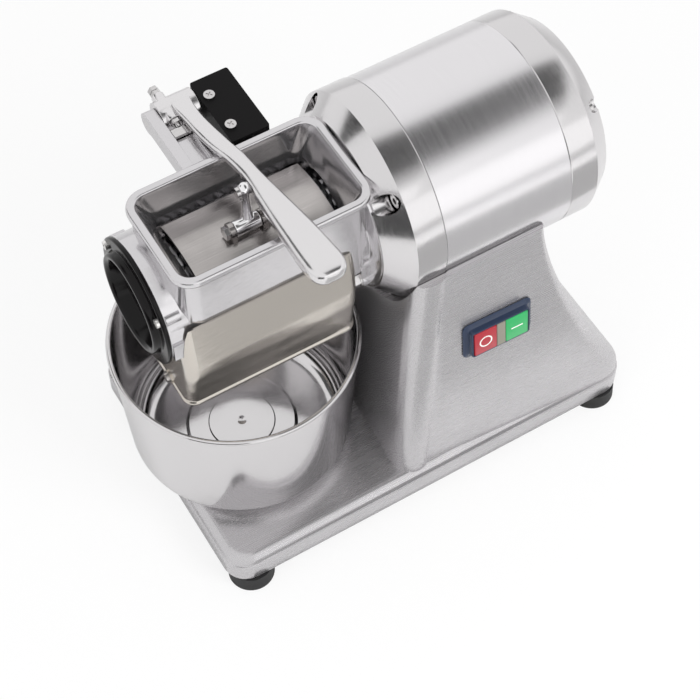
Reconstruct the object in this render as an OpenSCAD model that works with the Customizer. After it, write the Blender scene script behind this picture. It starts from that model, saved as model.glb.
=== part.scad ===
// Electric cheese grater: motor, grating drum, hopper with a lever pusher, chute and bowl
// Frame: origin on the counter in the middle of the base, +X towards the motor,
// +Y towards the lever hinge, +Z up. Lengths are in millimetres.

/* [Base and stand] */
// Length of the base
base_l = 409; // [380:1:440]
// Width of the base
base_w = 256; // [240:1:270]
// Corner radius of the base
base_r = 22; // [15:1:30]
// Height of the rubber feet
foot_h = 18; // [12:1:25]
// Height of the upright rim of the base
rim_h = 23; // [16:1:30]
// Rise of the deck above the rim
deck_rise = 5; // [3:0.5:8]
// Width of the bevel round the deck
bevel_w = 9; // [5:0.5:14]
// Wall of the base casting
base_wall = 4; // [3:0.5:6]
// Height of the drum axis above the counter
axis_h = 296; // [285:1:320]
// Distance of the drum axis behind the middle of the feet
axis_y = 9.5; // [0:0.5:12]
// Distance of the top of the stand below the drum axis
stand_drop = 20; // [12:1:30]
// Radius of the rubber feet
foot_r = 20.5; // [16:0.5:22]
// Distance of each foot's centre from the end of the base
foot_inset_x = 23.5; // [20:0.5:30]
// Distance between the front and the rear feet
foot_pitch = 203; // [180:1:210]

/* [Motor] */
// Outer diameter of the motor sleeve
motor_d = 180; // [165:1:190]
// Length of the motor sleeve
sleeve_l = 118; // [100:1:140]
// Wall of the motor sleeve
sleeve_wall = 2; // [1.5:0.25:4]
// Place of the seam between front shield and sleeve, along X
seam_x = 23; // [10:1:35]
// Length of the straight ring of the front shield
ring_l = 27; // [18:1:34]
// Length of the cone of the front shield
cone_l = 21; // [16:1:22]
// Radius of the small end of that cone
cone_r = 72; // [71:0.5:78]
// Length of the straight part of the rear cover
rear_l = 25; // [15:1:40]
// Length of the chamfer of the rear cover
rear_chamfer_l = 17; // [8:1:25]
// Radius of the rear cover at its end face
rear_end_r = 77.5; // [65:0.5:84]
// Diameter of the motor shaft
shaft_d = 20; // [16:1:24]

/* [Drum and chamber] */
// Radius of the grating drum under its teeth
drum_r = 36; // [30:0.5:38]
// Height of the rasp teeth
tooth_h = 1.6; // [1:0.1:2]
// Length of the drum
drum_l = 150; // [120:1:155]
// Outer radius of the drum chamber
chamber_r = 53; // [50:0.5:56]
// Wall of the drum chamber
chamber_wall = 7; // [6:0.5:8]
// Radius of the flange that joins the head to the motor
flange_r = 69.7; // [68:0.1:69.7]
// Thickness of that flange
flange_t = 6; // [5:0.5:8]

/* [Hopper] */
// Inner length of the hopper mouth
mouth_l = 159; // [140:1:165]
// Inner width of the hopper mouth
mouth_w = 87.5; // [75:0.5:92]
// Height of the hopper rim above the drum axis
rim_z = 72; // [68:0.5:76]
// Width of the rolled rim
rim_w = 6.8; // [5:0.1:9]
// Distance of the mouth's middle in front of the drum axis
mouth_shift = 6.7; // [0:0.1:8]
// Inner corner radius of the mouth
mouth_r = 12; // [8:0.5:16]

/* [Chute and bowl] */
// Distance of the chute's lower edge below the drum axis
chute_drop = 90; // [80:1:94]
// Length of the chute
chute_l = 156; // [140:1:160]
// Sheet thickness of the chute
chute_t = 1.5; // [1:0.25:2]
// Outer radius of the bowl rim
bowl_r = 107.5; // [95:0.5:108]
// Height of the bowl
bowl_h = 143; // [120:1:148]
// Wall of the bowl
bowl_wall = 1.2; // [1:0.1:2]

/* [Lever and pusher] */
// Distance of the lever hinge behind the drum axis
hinge_y = 106; // [104:1:112]
// Height of the lever hinge above the drum axis
hinge_z = 60; // [57:1:63]
// Radius of the hinge barrels
hub_r = 14; // [12.5:0.5:15]
// Radius of the hinge pin
pin_r = 5; // [4:0.25:5]
// Length of the pusher
pusher_l = 122; // [100:1:130]
// Width of the pusher
pusher_w = 66; // [56:1:68]
// Width of the lever's grip
grip_w = 31; // [24:1:36]

/* [Switches] */
// Width of the push button plate
button_plate_w = 57; // [50:1:60]
// Height of the push button plate
button_plate_h = 31; // [28:1:33]
// Travel of a push button
button_travel = 3; // [1.5:0.5:4]
// Travel of the interlock pin
interlock_travel = 2; // [1:0.5:2]

/* [Hidden] */

// Smoothness of large and of small rounds
large_fn = 120;
small_fn = 40;
$fn = small_fn;
// Overrun of every cut
over = 1;
// Gap between parts that rest on or beside each other
gap = 0.3;
// Radial gap of a running or push fit
fit = 0.05;

// Base and stand
base_x1 = base_l/2;
base_y0 = axis_y - base_w/2;
base_y1 = axis_y + base_w/2;
deck_z = foot_h + rim_h + deck_rise;
rim_top_z = foot_h + rim_h;
stand_top_z = axis_h - stand_drop;
stand_low_z = rim_top_z - rim_h*0.4;
// Left and right faces of the stand at its top, and the left face at the deck
stand_x0_top = -8;
stand_x1_top = 117;
stand_x0_low = -33;
// Half width of the stand at its top, measured from the drum axis
stand_half = motor_d/2 + 3;
// Distance of the shoulder where the flank reaches the end of the base above the deck
shoulder_rise = 5;
// How far the stand stays inside the base's outline
stand_inset = 1.6;
// How far the stand's front left foot stays behind the base's front
stand_front_set = 9;
// Corner radii of the stand, with the roll of its front left corner
stand_r = 7;
roll_r = 18;
roll_out = 3;
// Depth of the hollow in the stand's left face
left_hollow = 5;
// Share of the flank curve's steepness
flank_share = 1.53;
// Number of levels that shape the stand
stand_levels = 14;
// Top of the stand's inner space, below the saddle
saddle_floor = 8;
rim_round = 1.5;
bottom_t = 1.5;
bottom_screw_r = 2;
bottom_screw_head_r = 4;
bottom_screw_head_t = 2;
bottom_screw_l = 9;
bottom_boss_r = 5;
bottom_screw_share = [0.55, 0.93];
foot_taper = 1;
foot_round = 1.5;
foot_top_r = foot_r - foot_taper;
foot_screw_r = 3;
foot_screw_head_r = 6;
foot_screw_head_t = 3;
foot_screw_l = 22;
foot_recess_r = 8;
foot_recess_h = 7;
foot_boss_r = 8;

// Motor
motor_r = motor_d/2;
sleeve_ri = motor_r - sleeve_wall;
ring_proud = 0.8;
ring_r = motor_r + ring_proud;
ring_x = seam_x - ring_l;
cone_x = ring_x - cone_l;
shield_x = cone_x + flange_t;
seam2_x = seam_x + sleeve_l;
rear_x = seam2_x + rear_l;
rear_end_x = rear_x + rear_chamfer_l;
shield_wall = 6;
rear_wall = 5;
// Gap left in the front shield round the hopper's end wall and lip
relief = 0.6;
spigot_l = 10;
spigot_wall = 4;
shaft_r = shaft_d/2;
// Front bearing: outer radius and width; rear bearing: bore, outer radius and width
bearing_r = 23.5;
bearing_w = 14;
rear_bore_r = 8.5;
rear_bearing_r = 20;
rear_bearing_w = 12;
bearing_set = 10;
bearing_x = shield_x + bearing_set;
bearing_boss_wall = 6;
rear_bearing_set = 22;
rear_bearing_x = rear_end_x - rear_bearing_set;
journal_l = 4;
race_t = 3.5;
race_depth = 1.2;
ball_count = 8;
seal_w = 7;
seal_r = 18;
seal_lip = 1.5;
seal_set = 1;
rotor_r = 45;
air_gap = 0.6;
stack_set = 30;
stack_x = seam_x + stack_set;
stack_l = 64;
slot_count = 18;
slot_w = 7;
slot_depth = 18;
winding_l = 14;
winding_r0 = rotor_r + 6;
winding_r1 = 76;
winding_round = 4;
fan_hub_r = 16;
fan_r = 52;
fan_w = 10;
fan_blades = 9;
fan_blade_t = 2;
fan_disc_t = 2;
fan_gap = 3;
fan_x = stack_x + stack_l + winding_l + fan_gap;
motor_angles = [45, 135, 225, 315];
shield_screw_ring = 81;
shield_screw_r = 3;
shield_screw_head_r = 6;
shield_screw_head_l = 7;
shield_screw_pocket_r = 8.5;
shield_screw_l = 24;
shield_pocket_floor = 12;
socket_r = 3;
socket_depth = 3.5;
rear_screw_ring = 80;
rear_screw_r = 2.5;
rear_screw_head_r = 4.8;
rear_screw_head_l = 3;
rear_screw_pocket_r = 5.8;
rear_screw_l = 14;
rear_pocket_floor = 10;
slot_cut_w = 1.2;
slot_cut_depth = 1.2;
mount_bolt_r = 4;
mount_bolt_head_r = 7.5;
mount_bolt_head_h = 5.5;
mount_bolt_l = 16;
mount_bolt_share = 0.3;

// Inside the stand
cap_r = 20;
cap_l = 90;
cap_x = 70;
cap_rise = 40;
cap_z = deck_z + cap_rise;
cap_y = 60;
clip_t = 2;
clip_w = 14;
clip_foot_l = 16;
terminal_l = 60;
terminal_w = 22;
terminal_h = 18;
terminal_x = 60;
terminal_y = -20;
terminal_ribs = 6;
gland_r = 9;
gland_nut_r = 12;
gland_nut_l = 7;
gland_l = 26;
gland_bore_r = 4.5;
gland_x = 90;
gland_z = 75;

// Head casting
flange_x = shield_x - flange_t;
mouth_gap = 1.4;
mouth_x1 = flange_x - mouth_gap;
mouth_x0 = mouth_x1 - mouth_l;
mouth_y0 = -mouth_shift - mouth_w/2;
mouth_y1 = -mouth_shift + mouth_w/2;
mouth_cx = (mouth_x0 + mouth_x1)/2;
lip_h = 7;
lip_round = 2.4;
hopper_wall = 3.5;
// How much the hopper narrows on each side down to the drum
taper = 6;
cap_set = 21.3;
cap_face_x = mouth_x0 - cap_set;
cap_t = 4;
chamber_x = cap_face_x + cap_t;
bore_r = chamber_r - chamber_wall;
outlet_half = 40;
shaft_hole_r = 22;
chamber_end_t = 2;
stud_ring = 61;
stud_r = 4;
stud_out = 13;
stud_in = 16;
stud_angles = [135, 225, 304];
nut_r = 7.6;
nut_h = 7;
washer_r = 7.7;
washer_t = 1.4;
ear_r = 8.5;
ear_t = 5.5;
gusset_r = 6.5;
gusset_l = 9;
gusset_y = -47;
gusset_z = -18;
front_rib_h = 16;
front_rib_w = 8;
front_rib_out = 2;

// End cap
end_cap_r = 54.5;
end_round = 1;
end_dish_r = 44;
end_dish_out = 6;
end_dish_round = 2;
end_recess_r = 37;
end_recess_floor = 3;
end_spigot_l = 6;
end_spigot_wall = 3;
end_step_r = 28;
end_step_h = 1.5;
cap_screw_ring = 49.5;
cap_screw_angles = [60, 180, 300];
cap_screw_r = 2;
cap_screw_head_r = 3.8;
cap_screw_head_h = 2.4;
cap_screw_l = 12;
cap_boss_r = 5.5;

// Chute
chute_set = 10.6;
chute_x0 = mouth_x0 - chute_set;
chute_x1 = chute_x0 + chute_l;
chute_y_back = 44;
chute_corner = 10;
chute_bead = 1.4;
// Front of the chute: heights as shares of its drop, and how far each stands out
chute_height_shares = [-0.16, 0, 0.15, 0.33, 0.5, 0.72, 0.95];
chute_out_shares = [0, 0.4, 0.75, 1, 0.9, 0.45, 0];
chute_swell = 6;
chute_front = -mouth_y0 + hopper_wall + gap;
chute_screw_r = 2;
chute_screw_head_r = 4;
chute_screw_head_h = 2.6;
chute_screw_l = 8;
chute_lug_z = 91;
chute_lug_y = 23;
chute_lug_r = 6;
chute_lug_t = 3;

// Bowl
bowl_x = -126;
bowl_bead_r = 2.2;
bowl_foot_r = 72;
bowl_low_r = 98;
bowl_round_r = 22;
bowl_step_r = 47;
bowl_step_w = 3;
bowl_step_h = 4;
bowl_centre_r = 29;
bowl_ridge = 1;
bowl_ring_r = bowl_centre_r + bowl_ridge;
bowl_dimple_r = 4;
bowl_dimple_h = 0.8;

// Drum
drum_gap = 5;
drum_x1 = flange_x - drum_gap;
drum_x0 = drum_x1 - drum_l;
drum_wall = 4;
drum_disc_t = 8;
drum_hub_r = 17;
drum_cup_l = 12;
tooth_rings = 38;
tooth_segments = 44;
nose_r = 7;
drum_nut_r = 13;
drum_nut_h = 8;
key_w = 6;
key_h = 5;
key_l = 26;
shaft_set = 2;
shaft_x0 = drum_x0 + shaft_set;

// Lever bracket, hinge and stop
cheek_x = [-135, -125.5, -110.5, -105];
cheek_r = 9.5;
cheek_depth = 17;
bridge_l = 31;
bridge_drop = 4;
side_gap = 0.5;
hub_end_l = 12;
lever_hub_x = [cheek_x[1] + side_gap, cheek_x[3] + side_gap + hub_end_l];
stop_r = 2.5;
stop_z = pin_r + stop_r + side_gap;
stop_boss = hub_r + side_gap;
stop_boss_r = 5.4;
stop_hex_r = 4.6;
stop_hex_h = 4;
stop_inset = 6.5;
stop_tip = 22;
stop_block_l = 8;
stop_x = cheek_x[2] - stop_inset;
// Angles about the hinge where the slot for the right cheek ends under and over the hub
slot_end = -31;
slot_top = 100;

// Lever: stations behind or before the drum axis, as shares of the hinge distance
lever_y_shares = [1.04, 0.98, 0.92, 0.76, 0.6, 0.43, 0.25, 0.05, -0.18, -0.42, -0.64, -0.84, -0.98,
    -1.06, -1.1, -1.115];
// Height of the top above the drum axis, as shares of the hinge height
lever_top_shares = [1.17, 1.24, 1.27, 1.31, 1.345, 1.365, 1.39, 1.42, 1.47, 1.53, 1.58, 1.62, 1.655,
    1.66, 1.645, 1.6];
// Depth, as shares of the hub radius
lever_deep_shares = [0.4, 0.45, 0.42, 0.56, 0.62, 0.6, 0.72, 0.92, 1.02, 1.05, 1.08, 1.12, 1.12, 1, 0.8, 0.4];
// Width, as shares of the grip width
lever_wide_shares = [0.55, 0.56, 0.52, 0.47, 0.49, 0.485, 0.46, 0.47, 0.62, 0.78, 0.9, 0.98, 1, 0.86,
    0.6, 0.28];
// Sideways place of each station, as shares of the lever's bend towards the hinge
lever_side_shares = [0.7, 0.8, 0.88, 0.86, 0.76, 0.54, 0.21, 0.05, 0.03, 0.02, 0, 0, 0, 0, 0, 0];
// Station of the lever beside the pusher link
link_station = 7;
lever_x = -95.5;
lever_bend = -12;
lever_corner_share = 0.3;
// Left side of the lever where the link is screwed on
lever_left_x = lever_x +
    lever_bend*lever_side_shares[link_station] - grip_w*lever_wide_shares[link_station]/2;

// Pusher and its link
pusher_y = -mouth_shift;
pusher_gap = 3.4;
pusher_under_r = drum_r + tooth_h + pusher_gap;
pusher_crown_t = 4;
pusher_drop = 6;
pusher_skirt_z = 18;
pusher_bolt_y = -14;
pusher_bolt_z = 52;
pusher_bolt_r = 3;
pusher_hex_r = 5.6;
pusher_hex_h = 4;
ear_w = 4;
pusher_ear_r = 7;
link_l = 22;
link_r = 6.5;
link_shift = 7;
link_x = mouth_cx - link_shift;
link_top_y = -3;
link_top_z = 78;
link_top_r = 6;
link_top_l = 8;
link_screw_r = 2.5;
link_screw_head_r = 4.5;
link_screw_head_h = 3;

// Interlock housing behind the hopper
lock_gap = 2.6;
lock_x0 = lever_hub_x[1] + lock_gap;
lock_w = 34;
lock_l = 70;
lock_h = 25;
lock_set = 4.4;
lock_y0 = mouth_y1 + rim_w + lock_set;
lock_top = 70;
lock_wall = 2.5;
lock_r = 2;
shelf_t = 4;
lock_screw_r = 2;
lock_screw_head_r = 4.6;
lock_screw_head_h = 2;
lock_screw_inset = 7.5;
lock_screw_share = [0.22, 0.72];
lock_pin_r = 1.25;
lock_pin_ring = 9;
groove_r0 = 6.4;
groove_r1 = 11.6;
groove_d = 3.2;
pad_half_angle = 9;
// Gap between the interlock pin and the pad on the hub with the lever down
pad_gap = 0.4;
micro_l = 18;
micro_lead = 1;
micro_gap = 2;
micro_w = 10;
micro_h = 16;

// Push buttons
button_x = 67;
button_z = 185;
button_out = 8;
button_flare = 5;
plate_margin = 1.6;
plate_r = 3;
plate_edge = 1;
lamp_w = 8;
lamp_t = 4;
button_gap = 0.4;
button_proud = 0.6;
button_body_l = 10;
button_t = 3;
button_step = 3.2;
housing_t = 2;
block_w = 53;
block_h = 24;
block_l = 38;
mark_w = 1.3;
mark_r = 4.6;
mark_depth = 0.4;

// Outline helpers

// Points of a rounded rectangle at height z: x and y limits and one corner radius
function ring(x0, x1, y0, y1, r, z, n = 6) = [
    for (c = [[x1 - r, y0 + r, -90], [x1 - r, y1 - r, 0], [x0 + r, y1 - r, 90], [x0 + r, y0 + r, 180]])
        for (i = [0:n]) [c[0] + r*cos(c[2] + 90*i/n), c[1] + r*sin(c[2] + 90*i/n), z]];

// Closed skin through a list of rings that all have the same number of points
module loft(rings) {
    n = len(rings[0]);
    last = len(rings) - 1;
    polyhedron(
        points = [for (r = rings) each r],
        faces = concat(
            [[for (i = [0:n - 1]) i]],
            [for (k = [0:last - 1]) for (i = [0:n - 1]) each [
                [k*n + i, (k + 1)*n + i, k*n + (i + 1)%n],
                [k*n + (i + 1)%n, (k + 1)*n + i, (k + 1)*n + (i + 1)%n]]],
            [[for (i = [n - 1:-1:0]) last*n + i]]),
        convexity = 6);
}

// Moves to the drum axis
module at_axis() {
    translate([0, axis_y, axis_h]) children();
}

// Solid of revolution about the drum axis, from points of radius and X, its seam turned from the bottom
module turned(points, seam = 0) {
    at_axis() rotate([seam, 0, 0]) rotate([0, 90, 0]) rotate_extrude($fn = large_fn) polygon(points);
}

// Cylinder along X on the drum axis frame
module rod_x(r, x0, x1, y = 0, z = 0, fn = small_fn) {
    at_axis() translate([x0, y, z]) rotate([0, 90, 0]) cylinder(r = r, h = x1 - x0, $fn = fn);
}

// Hexagon prism along X
module hex_x(r, x0, x1, y = 0, z = 0) {
    at_axis() translate([x0, y, z]) rotate([0, 90, 0]) cylinder(r = r, h = x1 - x0, $fn = 6);
}

// Repeats round the drum axis at the given angles
module round_axis(angles) {
    for (a = angles) at_axis() rotate([a, 0, 0]) translate([0, 0, -axis_h]) translate([0, -axis_y,
        0]) children();
}

// Box between two corners
module block(low, high) {
    translate(low) cube(high - low);
}

// Box between two corners on the drum axis frame
module axis_block(low, high) {
    at_axis() block(low, high);
}

// Base and stand

// Rise along the stand from its shoulder to its top, 0 to 1
function stand_t(z) = min(1, max(0, (stand_top_z - z)/(stand_top_z - deck_z - shoulder_rise)));

// Outline of the stand at height z, drawn in by d
function stand_ring(z, d) =
    let (t = stand_t(z),
        s = min(1, max(0, (stand_top_z - z)/(stand_top_z - deck_z))),
        x0 = stand_x0_top + (stand_x0_low - stand_x0_top)*s + d,
        x1 = stand_x1_top + (base_x1 - stand_inset - stand_x1_top)*pow(t, flank_share) - d,
        top_y0 = axis_y - stand_half,
        top_y1 = axis_y + stand_half,
        left_y0 = top_y0 + (base_y0 + stand_front_set - top_y0)*s + d,
        right_y0 = top_y0 + (base_y0 + stand_inset - top_y0)*s + d,
        y1 = top_y1 + (base_y1 - stand_inset - top_y1)*s - d,
        r = max(stand_r + (base_r - stand_inset - stand_r)*t - d, d),
        rr = roll_r - d,
        n = 6,
        hollow = left_hollow)
    concat(
        [for (i = [0:n]) [x1 - r + r*cos(-90 + 90*i/n), right_y0 + r + r*sin(-90 + 90*i/n), z]],
        [for (i = [0:n]) [x1 - r + r*cos(90*i/n), y1 - r + r*sin(90*i/n), z]],
        [for (i = [0:n]) [x0 + r + r*cos(90 + 90*i/n), y1 - r + r*sin(90 + 90*i/n), z]],
        [for (i = [1:5]) let (u = i/6)
            [x0 + hollow*4*u*(1 - u), y1 - r + (left_y0 + rr - y1 + r)*u, z]],
        [for (i = [0:n + 2]) let (a = 180 + 118*i/(n + 2))
            [x0 + rr + rr*cos(a), left_y0 - roll_out + rr + rr*sin(a), z]],
        [[x0 + rr*1.75, left_y0, z]]);

// Outline of the tray at height z, drawn in by d
function tray_ring(z, d) = ring(-base_x1 + d, base_x1 - d, base_y0 + d, base_y1 - d, base_r - d*0.6, z);

// Ends of the front wall's straight line at height z: X and Y on the left, X and Y on the right
function wall_line(z) =
    let (r = stand_ring(z, 0), left = r[len(r) - 1], right = r[0])
    [left[0], left[1], right[0], right[1]];

// Distance of the front wall along Y at x and height z
function wall_y(x, z) =
    let (w = wall_line(z)) w[1] + (w[3] - w[1])*(x - w[0])/(w[2] - w[0]);

// Moves to the middle of the front wall where the push buttons sit, with Z up along the wall
module at_buttons() {
    across = button_plate_w/2;
    up = button_plate_h/2;
    turn = atan((wall_y(button_x + across, button_z) - wall_y(button_x - across, button_z))/(2*across));
    lean = atan((wall_y(button_x, button_z + up) - wall_y(button_x, button_z - up))/(2*up));
    translate([button_x, wall_y(button_x, button_z), button_z])
        rotate([0, 0, turn]) rotate([-lean, 0, 0]) children();
}

// Puts the origin on the counter, under the drum axis and midway between the bowl's edge and the base's end
module in_place() {
    translate([(bowl_r - bowl_x - base_x1)/2, -axis_y, 0]) children();
}

// Moves to the rear wall where the cable gland sits, with Z out of the wall
module at_gland() {
    spread = base_w/2 - stand_inset - stand_half;
    share = (stand_top_z - gland_z)/(stand_top_z - deck_z);
    translate([gland_x, axis_y + stand_half + spread*share, gland_z])
        rotate([atan(spread/(stand_top_z - deck_z)) - 90, 0, 0]) children();
}

// The four places of the feet
module at_feet() {
    for (x = [-1, 1]) for (y = [-1, 1])
        translate([x*(base_x1 - foot_inset_x), y*foot_pitch/2, 0]) children();
}

// The places of the bottom plate's screws
module at_bottom_screws() {
    for (x = [-1, 1]) for (y = [-1, 1])
        translate([x*base_x1*bottom_screw_share[0], axis_y + y*base_w/2*bottom_screw_share[1], 0]) children();
}

// The places of the bolts that hold the motor on its saddle
module at_mount_bolts() {
    for (s = [mount_bolt_share, 1 - mount_bolt_share])
        translate([seam_x + sleeve_l*s - spigot_l, axis_y, axis_h - motor_r]) children();
}

module base() {
    color("silver") difference() {
        union() {
            loft([tray_ring(foot_h, 0), tray_ring(rim_top_z - rim_round, 0), tray_ring(rim_top_z,
                rim_round*0.8),
                tray_ring(deck_z - deck_rise*0.25, bevel_w*0.75), tray_ring(deck_z, bevel_w)]);
            loft([for (i = [0:stand_levels])
                stand_ring(stand_low_z + (stand_top_z - stand_low_z)*i/stand_levels, 0)]);
        }
        difference() {
            union() {
                loft([tray_ring(foot_h - over, base_wall), tray_ring(rim_top_z - base_wall, base_wall),
                    tray_ring(deck_z - base_wall, base_wall + bevel_w)]);
                loft([for (i = [0:stand_levels - 4])
                    stand_ring(stand_low_z +
                        (axis_h - motor_r - saddle_floor - stand_low_z)*i/(stand_levels - 4),
                        base_wall)]);
            }
            at_feet() cylinder(r = foot_boss_r, h = deck_z);
            for (x = [-1, 1]) for (y = [-1, 1]) block(
                [x*(base_x1 - foot_inset_x) - foot_boss_r/2, y < 0 ? base_y0 : foot_pitch/2, 0],
                [x*(base_x1 - foot_inset_x) + foot_boss_r/2, y < 0 ? -foot_pitch/2 : base_y1, rim_top_z]);
            at_bottom_screws() cylinder(r = bottom_boss_r, h = deck_z);
        }
        rod_x(motor_r + gap, stand_x0_low, base_x1, fn = large_fn);
        rod_x(ring_r + gap, stand_x0_low - over, seam_x + over, fn = large_fn);
        at_buttons() block([-block_w/2 - gap, -button_out*2, -block_h/2 - gap],
            [block_w/2 + gap, base_wall*4, block_h/2 + gap]);
        at_feet() cylinder(r = foot_screw_r + fit, h = deck_z - base_wall);
        at_bottom_screws() cylinder(r = bottom_screw_r + fit, h = deck_z - base_wall);
        at_mount_bolts() translate([0, 0, -saddle_floor*2])
            cylinder(r = mount_bolt_r + gap, h = saddle_floor*2 + over);
        at_gland() translate([0, 0, -4*base_wall]) cylinder(r = gland_r + fit, h = 8*base_wall);
    }
}

module bottom_plate() {
    color("gainsboro") difference() {
        translate([0, axis_y, foot_h - bottom_t]) linear_extrude(bottom_t)
            offset(r = base_r - bevel_w) square([base_l - 2*base_r + bevel_w,
                base_w - 2*base_r + bevel_w], center = true);
        at_feet() translate([0, 0, -over]) cylinder(r = foot_top_r + gap, h = foot_h + 2*over);
        at_bottom_screws() translate([0, 0, -over]) cylinder(r = bottom_screw_r + gap, h = foot_h + 2*over);
    }
}

module bottom_screws() {
    color("gray") at_bottom_screws() {
        translate([0, 0, foot_h - bottom_t - bottom_screw_head_t])
            cylinder(r = bottom_screw_head_r, h = bottom_screw_head_t);
        translate([0, 0, foot_h - bottom_t - bottom_screw_head_t]) cylinder(r = bottom_screw_r,
            h = bottom_screw_l);
    }
}

module rubber_feet() {
    color("black") at_feet() rotate_extrude($fn = large_fn/2) polygon([
        [foot_recess_r, 0], [foot_r - foot_round, 0], [foot_r, foot_round], [foot_top_r, foot_h],
        [foot_screw_r + gap, foot_h], [foot_screw_r + gap, foot_recess_h], [foot_recess_r, foot_recess_h]]);
}

module foot_screws() {
    color("gray") at_feet() {
        translate([0, 0, foot_recess_h - foot_screw_head_t]) cylinder(r = foot_screw_head_r,
            h = foot_screw_head_t);
        translate([0, 0, foot_recess_h - foot_screw_head_t]) cylinder(r = foot_screw_r, h = foot_screw_l);
    }
}

// Motor

module front_shield() {
    inner_r = ring_r - shield_wall;
    color("gainsboro") difference() {
        turned([[seal_r + fit, shield_x], [flange_r + gap, shield_x], [flange_r + gap, cone_x],
            [cone_r, cone_x],
            [ring_r, ring_x], [ring_r, seam_x],
            [sleeve_ri - fit, seam_x], [sleeve_ri - fit, seam_x + spigot_l],
            [sleeve_ri - spigot_wall, seam_x + spigot_l], [inner_r, seam_x - spigot_l],
            [inner_r, ring_x + shield_wall], [flange_r - shield_wall, shield_x + bearing_set - seal_lip],
            [bearing_r + bearing_boss_wall, shield_x + bearing_set - seal_lip],
            [bearing_r + bearing_boss_wall, bearing_x + bearing_w],
            [bearing_r + fit, bearing_x + bearing_w], [bearing_r + fit, bearing_x],
            [seal_r + fit, bearing_x]]);
        axis_block([cone_x - over, mouth_y0 - hopper_wall - relief, 0],
            [mouth_x1 + hopper_wall + relief, mouth_y1 + hopper_wall + relief, rim_z + lip_h]);
        axis_block([cone_x - over, mouth_y0 - rim_w - relief, rim_z - lip_h - relief],
            [mouth_x1 + rim_w + relief, mouth_y1 + rim_w + relief, rim_z + lip_h]);
        round_axis(motor_angles) rod_x(shield_screw_pocket_r, cone_x - over,
            ring_x + shield_pocket_floor/3, 0, shield_screw_ring);
        round_axis(motor_angles) rod_x(shield_screw_r + gap, shield_x, seam_x + spigot_l + over, 0,
            shield_screw_ring);
        round_axis(stud_angles) rod_x(stud_r + fit, shield_x - over, shield_x + stud_in + over, 0, stud_ring);
    }
}

module front_shield_screws() {
    head_x = ring_x + shield_pocket_floor/3;
    color("dimgray") round_axis(motor_angles) difference() {
        union() {
            rod_x(shield_screw_head_r, head_x - shield_screw_head_l, head_x, 0, shield_screw_ring);
            rod_x(shield_screw_r, head_x - over, head_x + shield_screw_l, 0, shield_screw_ring);
        }
        hex_x(socket_r, head_x - shield_screw_head_l - over, head_x - shield_screw_head_l + socket_depth,
            0, shield_screw_ring);
    }
}

module motor_sleeve() {
    color("silver") turned([[sleeve_ri, seam_x + gap], [motor_r, seam_x + gap], [motor_r, seam2_x - gap],
        [sleeve_ri, seam2_x - gap]]);
}

module stator_core() {
    color("slategray") difference() {
        turned([[rotor_r + air_gap, stack_x], [sleeve_ri - fit, stack_x], [sleeve_ri - fit,
            stack_x + stack_l],
            [rotor_r + air_gap, stack_x + stack_l]]);
        round_axis([for (i = [0:slot_count - 1]) i*360/slot_count])
            axis_block([stack_x - over, -slot_w/2, rotor_r + 3*air_gap],
                [stack_x + stack_l + over, slot_w/2, rotor_r + 3*air_gap + slot_depth]);
        round_axis(motor_angles) rod_x(shield_screw_r + gap, stack_x - over, stack_x + stack_l + over,
            0, shield_screw_ring);
    }
}

module stator_windings() {
    color("chocolate") {
        for (x = [stack_x - winding_l, stack_x + stack_l])
            turned([[winding_r0 + winding_round, x], [winding_r1 - winding_round, x], [winding_r1,
                x + winding_round],
                [winding_r1, x + winding_l - winding_round], [winding_r1 - winding_round, x + winding_l],
                [winding_r0 + winding_round, x + winding_l], [winding_r0, x + winding_l - winding_round],
                [winding_r0, x + winding_round]]);
        round_axis([for (i = [0:slot_count - 1]) i*360/slot_count])
            axis_block([stack_x - winding_l/2, -slot_w/2 + gap, rotor_r + 3*air_gap + gap],
                [stack_x + stack_l + winding_l/2, slot_w/2 - gap, rotor_r + 3*air_gap + slot_depth - gap]);
    }
}

module rear_cover() {
    wall = rear_wall;
    color("gainsboro") difference() {
        turned([[0, rear_end_x], [rear_end_r, rear_end_x], [motor_r, rear_x], [motor_r, seam2_x],
            [sleeve_ri - fit, seam2_x], [sleeve_ri - fit, seam2_x - spigot_l],
            [sleeve_ri - spigot_wall, seam2_x - spigot_l], [motor_r - 2*wall, seam2_x + spigot_l],
            [motor_r - 2*wall, rear_x], [rear_end_r - 2*wall, rear_end_x - wall],
            [rear_bearing_r + wall, rear_end_x - wall], [rear_bearing_r + wall, rear_bearing_x],
            [rear_bearing_r + fit, rear_bearing_x], [rear_bearing_r + fit, rear_bearing_x + rear_bearing_w],
            [rear_bore_r + 2*wall, rear_bearing_x + rear_bearing_w], [rear_bore_r + 2*wall,
                rear_end_x - wall],
            [0, rear_end_x - wall]]);
        round_axis(motor_angles) rod_x(rear_screw_pocket_r, rear_end_x - rear_pocket_floor,
            rear_end_x + over, 0, rear_screw_ring);
        round_axis(motor_angles) rod_x(rear_screw_r + gap, seam2_x - spigot_l - over, rear_end_x, 0,
            rear_screw_ring);
    }
}

module rear_cover_screws() {
    head_x = rear_end_x - rear_pocket_floor;
    color("dimgray") round_axis(motor_angles) difference() {
        union() {
            rod_x(rear_screw_head_r, head_x, head_x + rear_screw_head_l, 0, rear_screw_ring);
            rod_x(rear_screw_r, head_x - rear_screw_l, head_x + over, 0, rear_screw_ring);
        }
        axis_block([head_x + rear_screw_head_l - slot_cut_depth, -rear_screw_head_r,
            rear_screw_ring - slot_cut_w/2],
            [head_x + rear_screw_head_l + over, rear_screw_head_r, rear_screw_ring + slot_cut_w/2]);
    }
}

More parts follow.
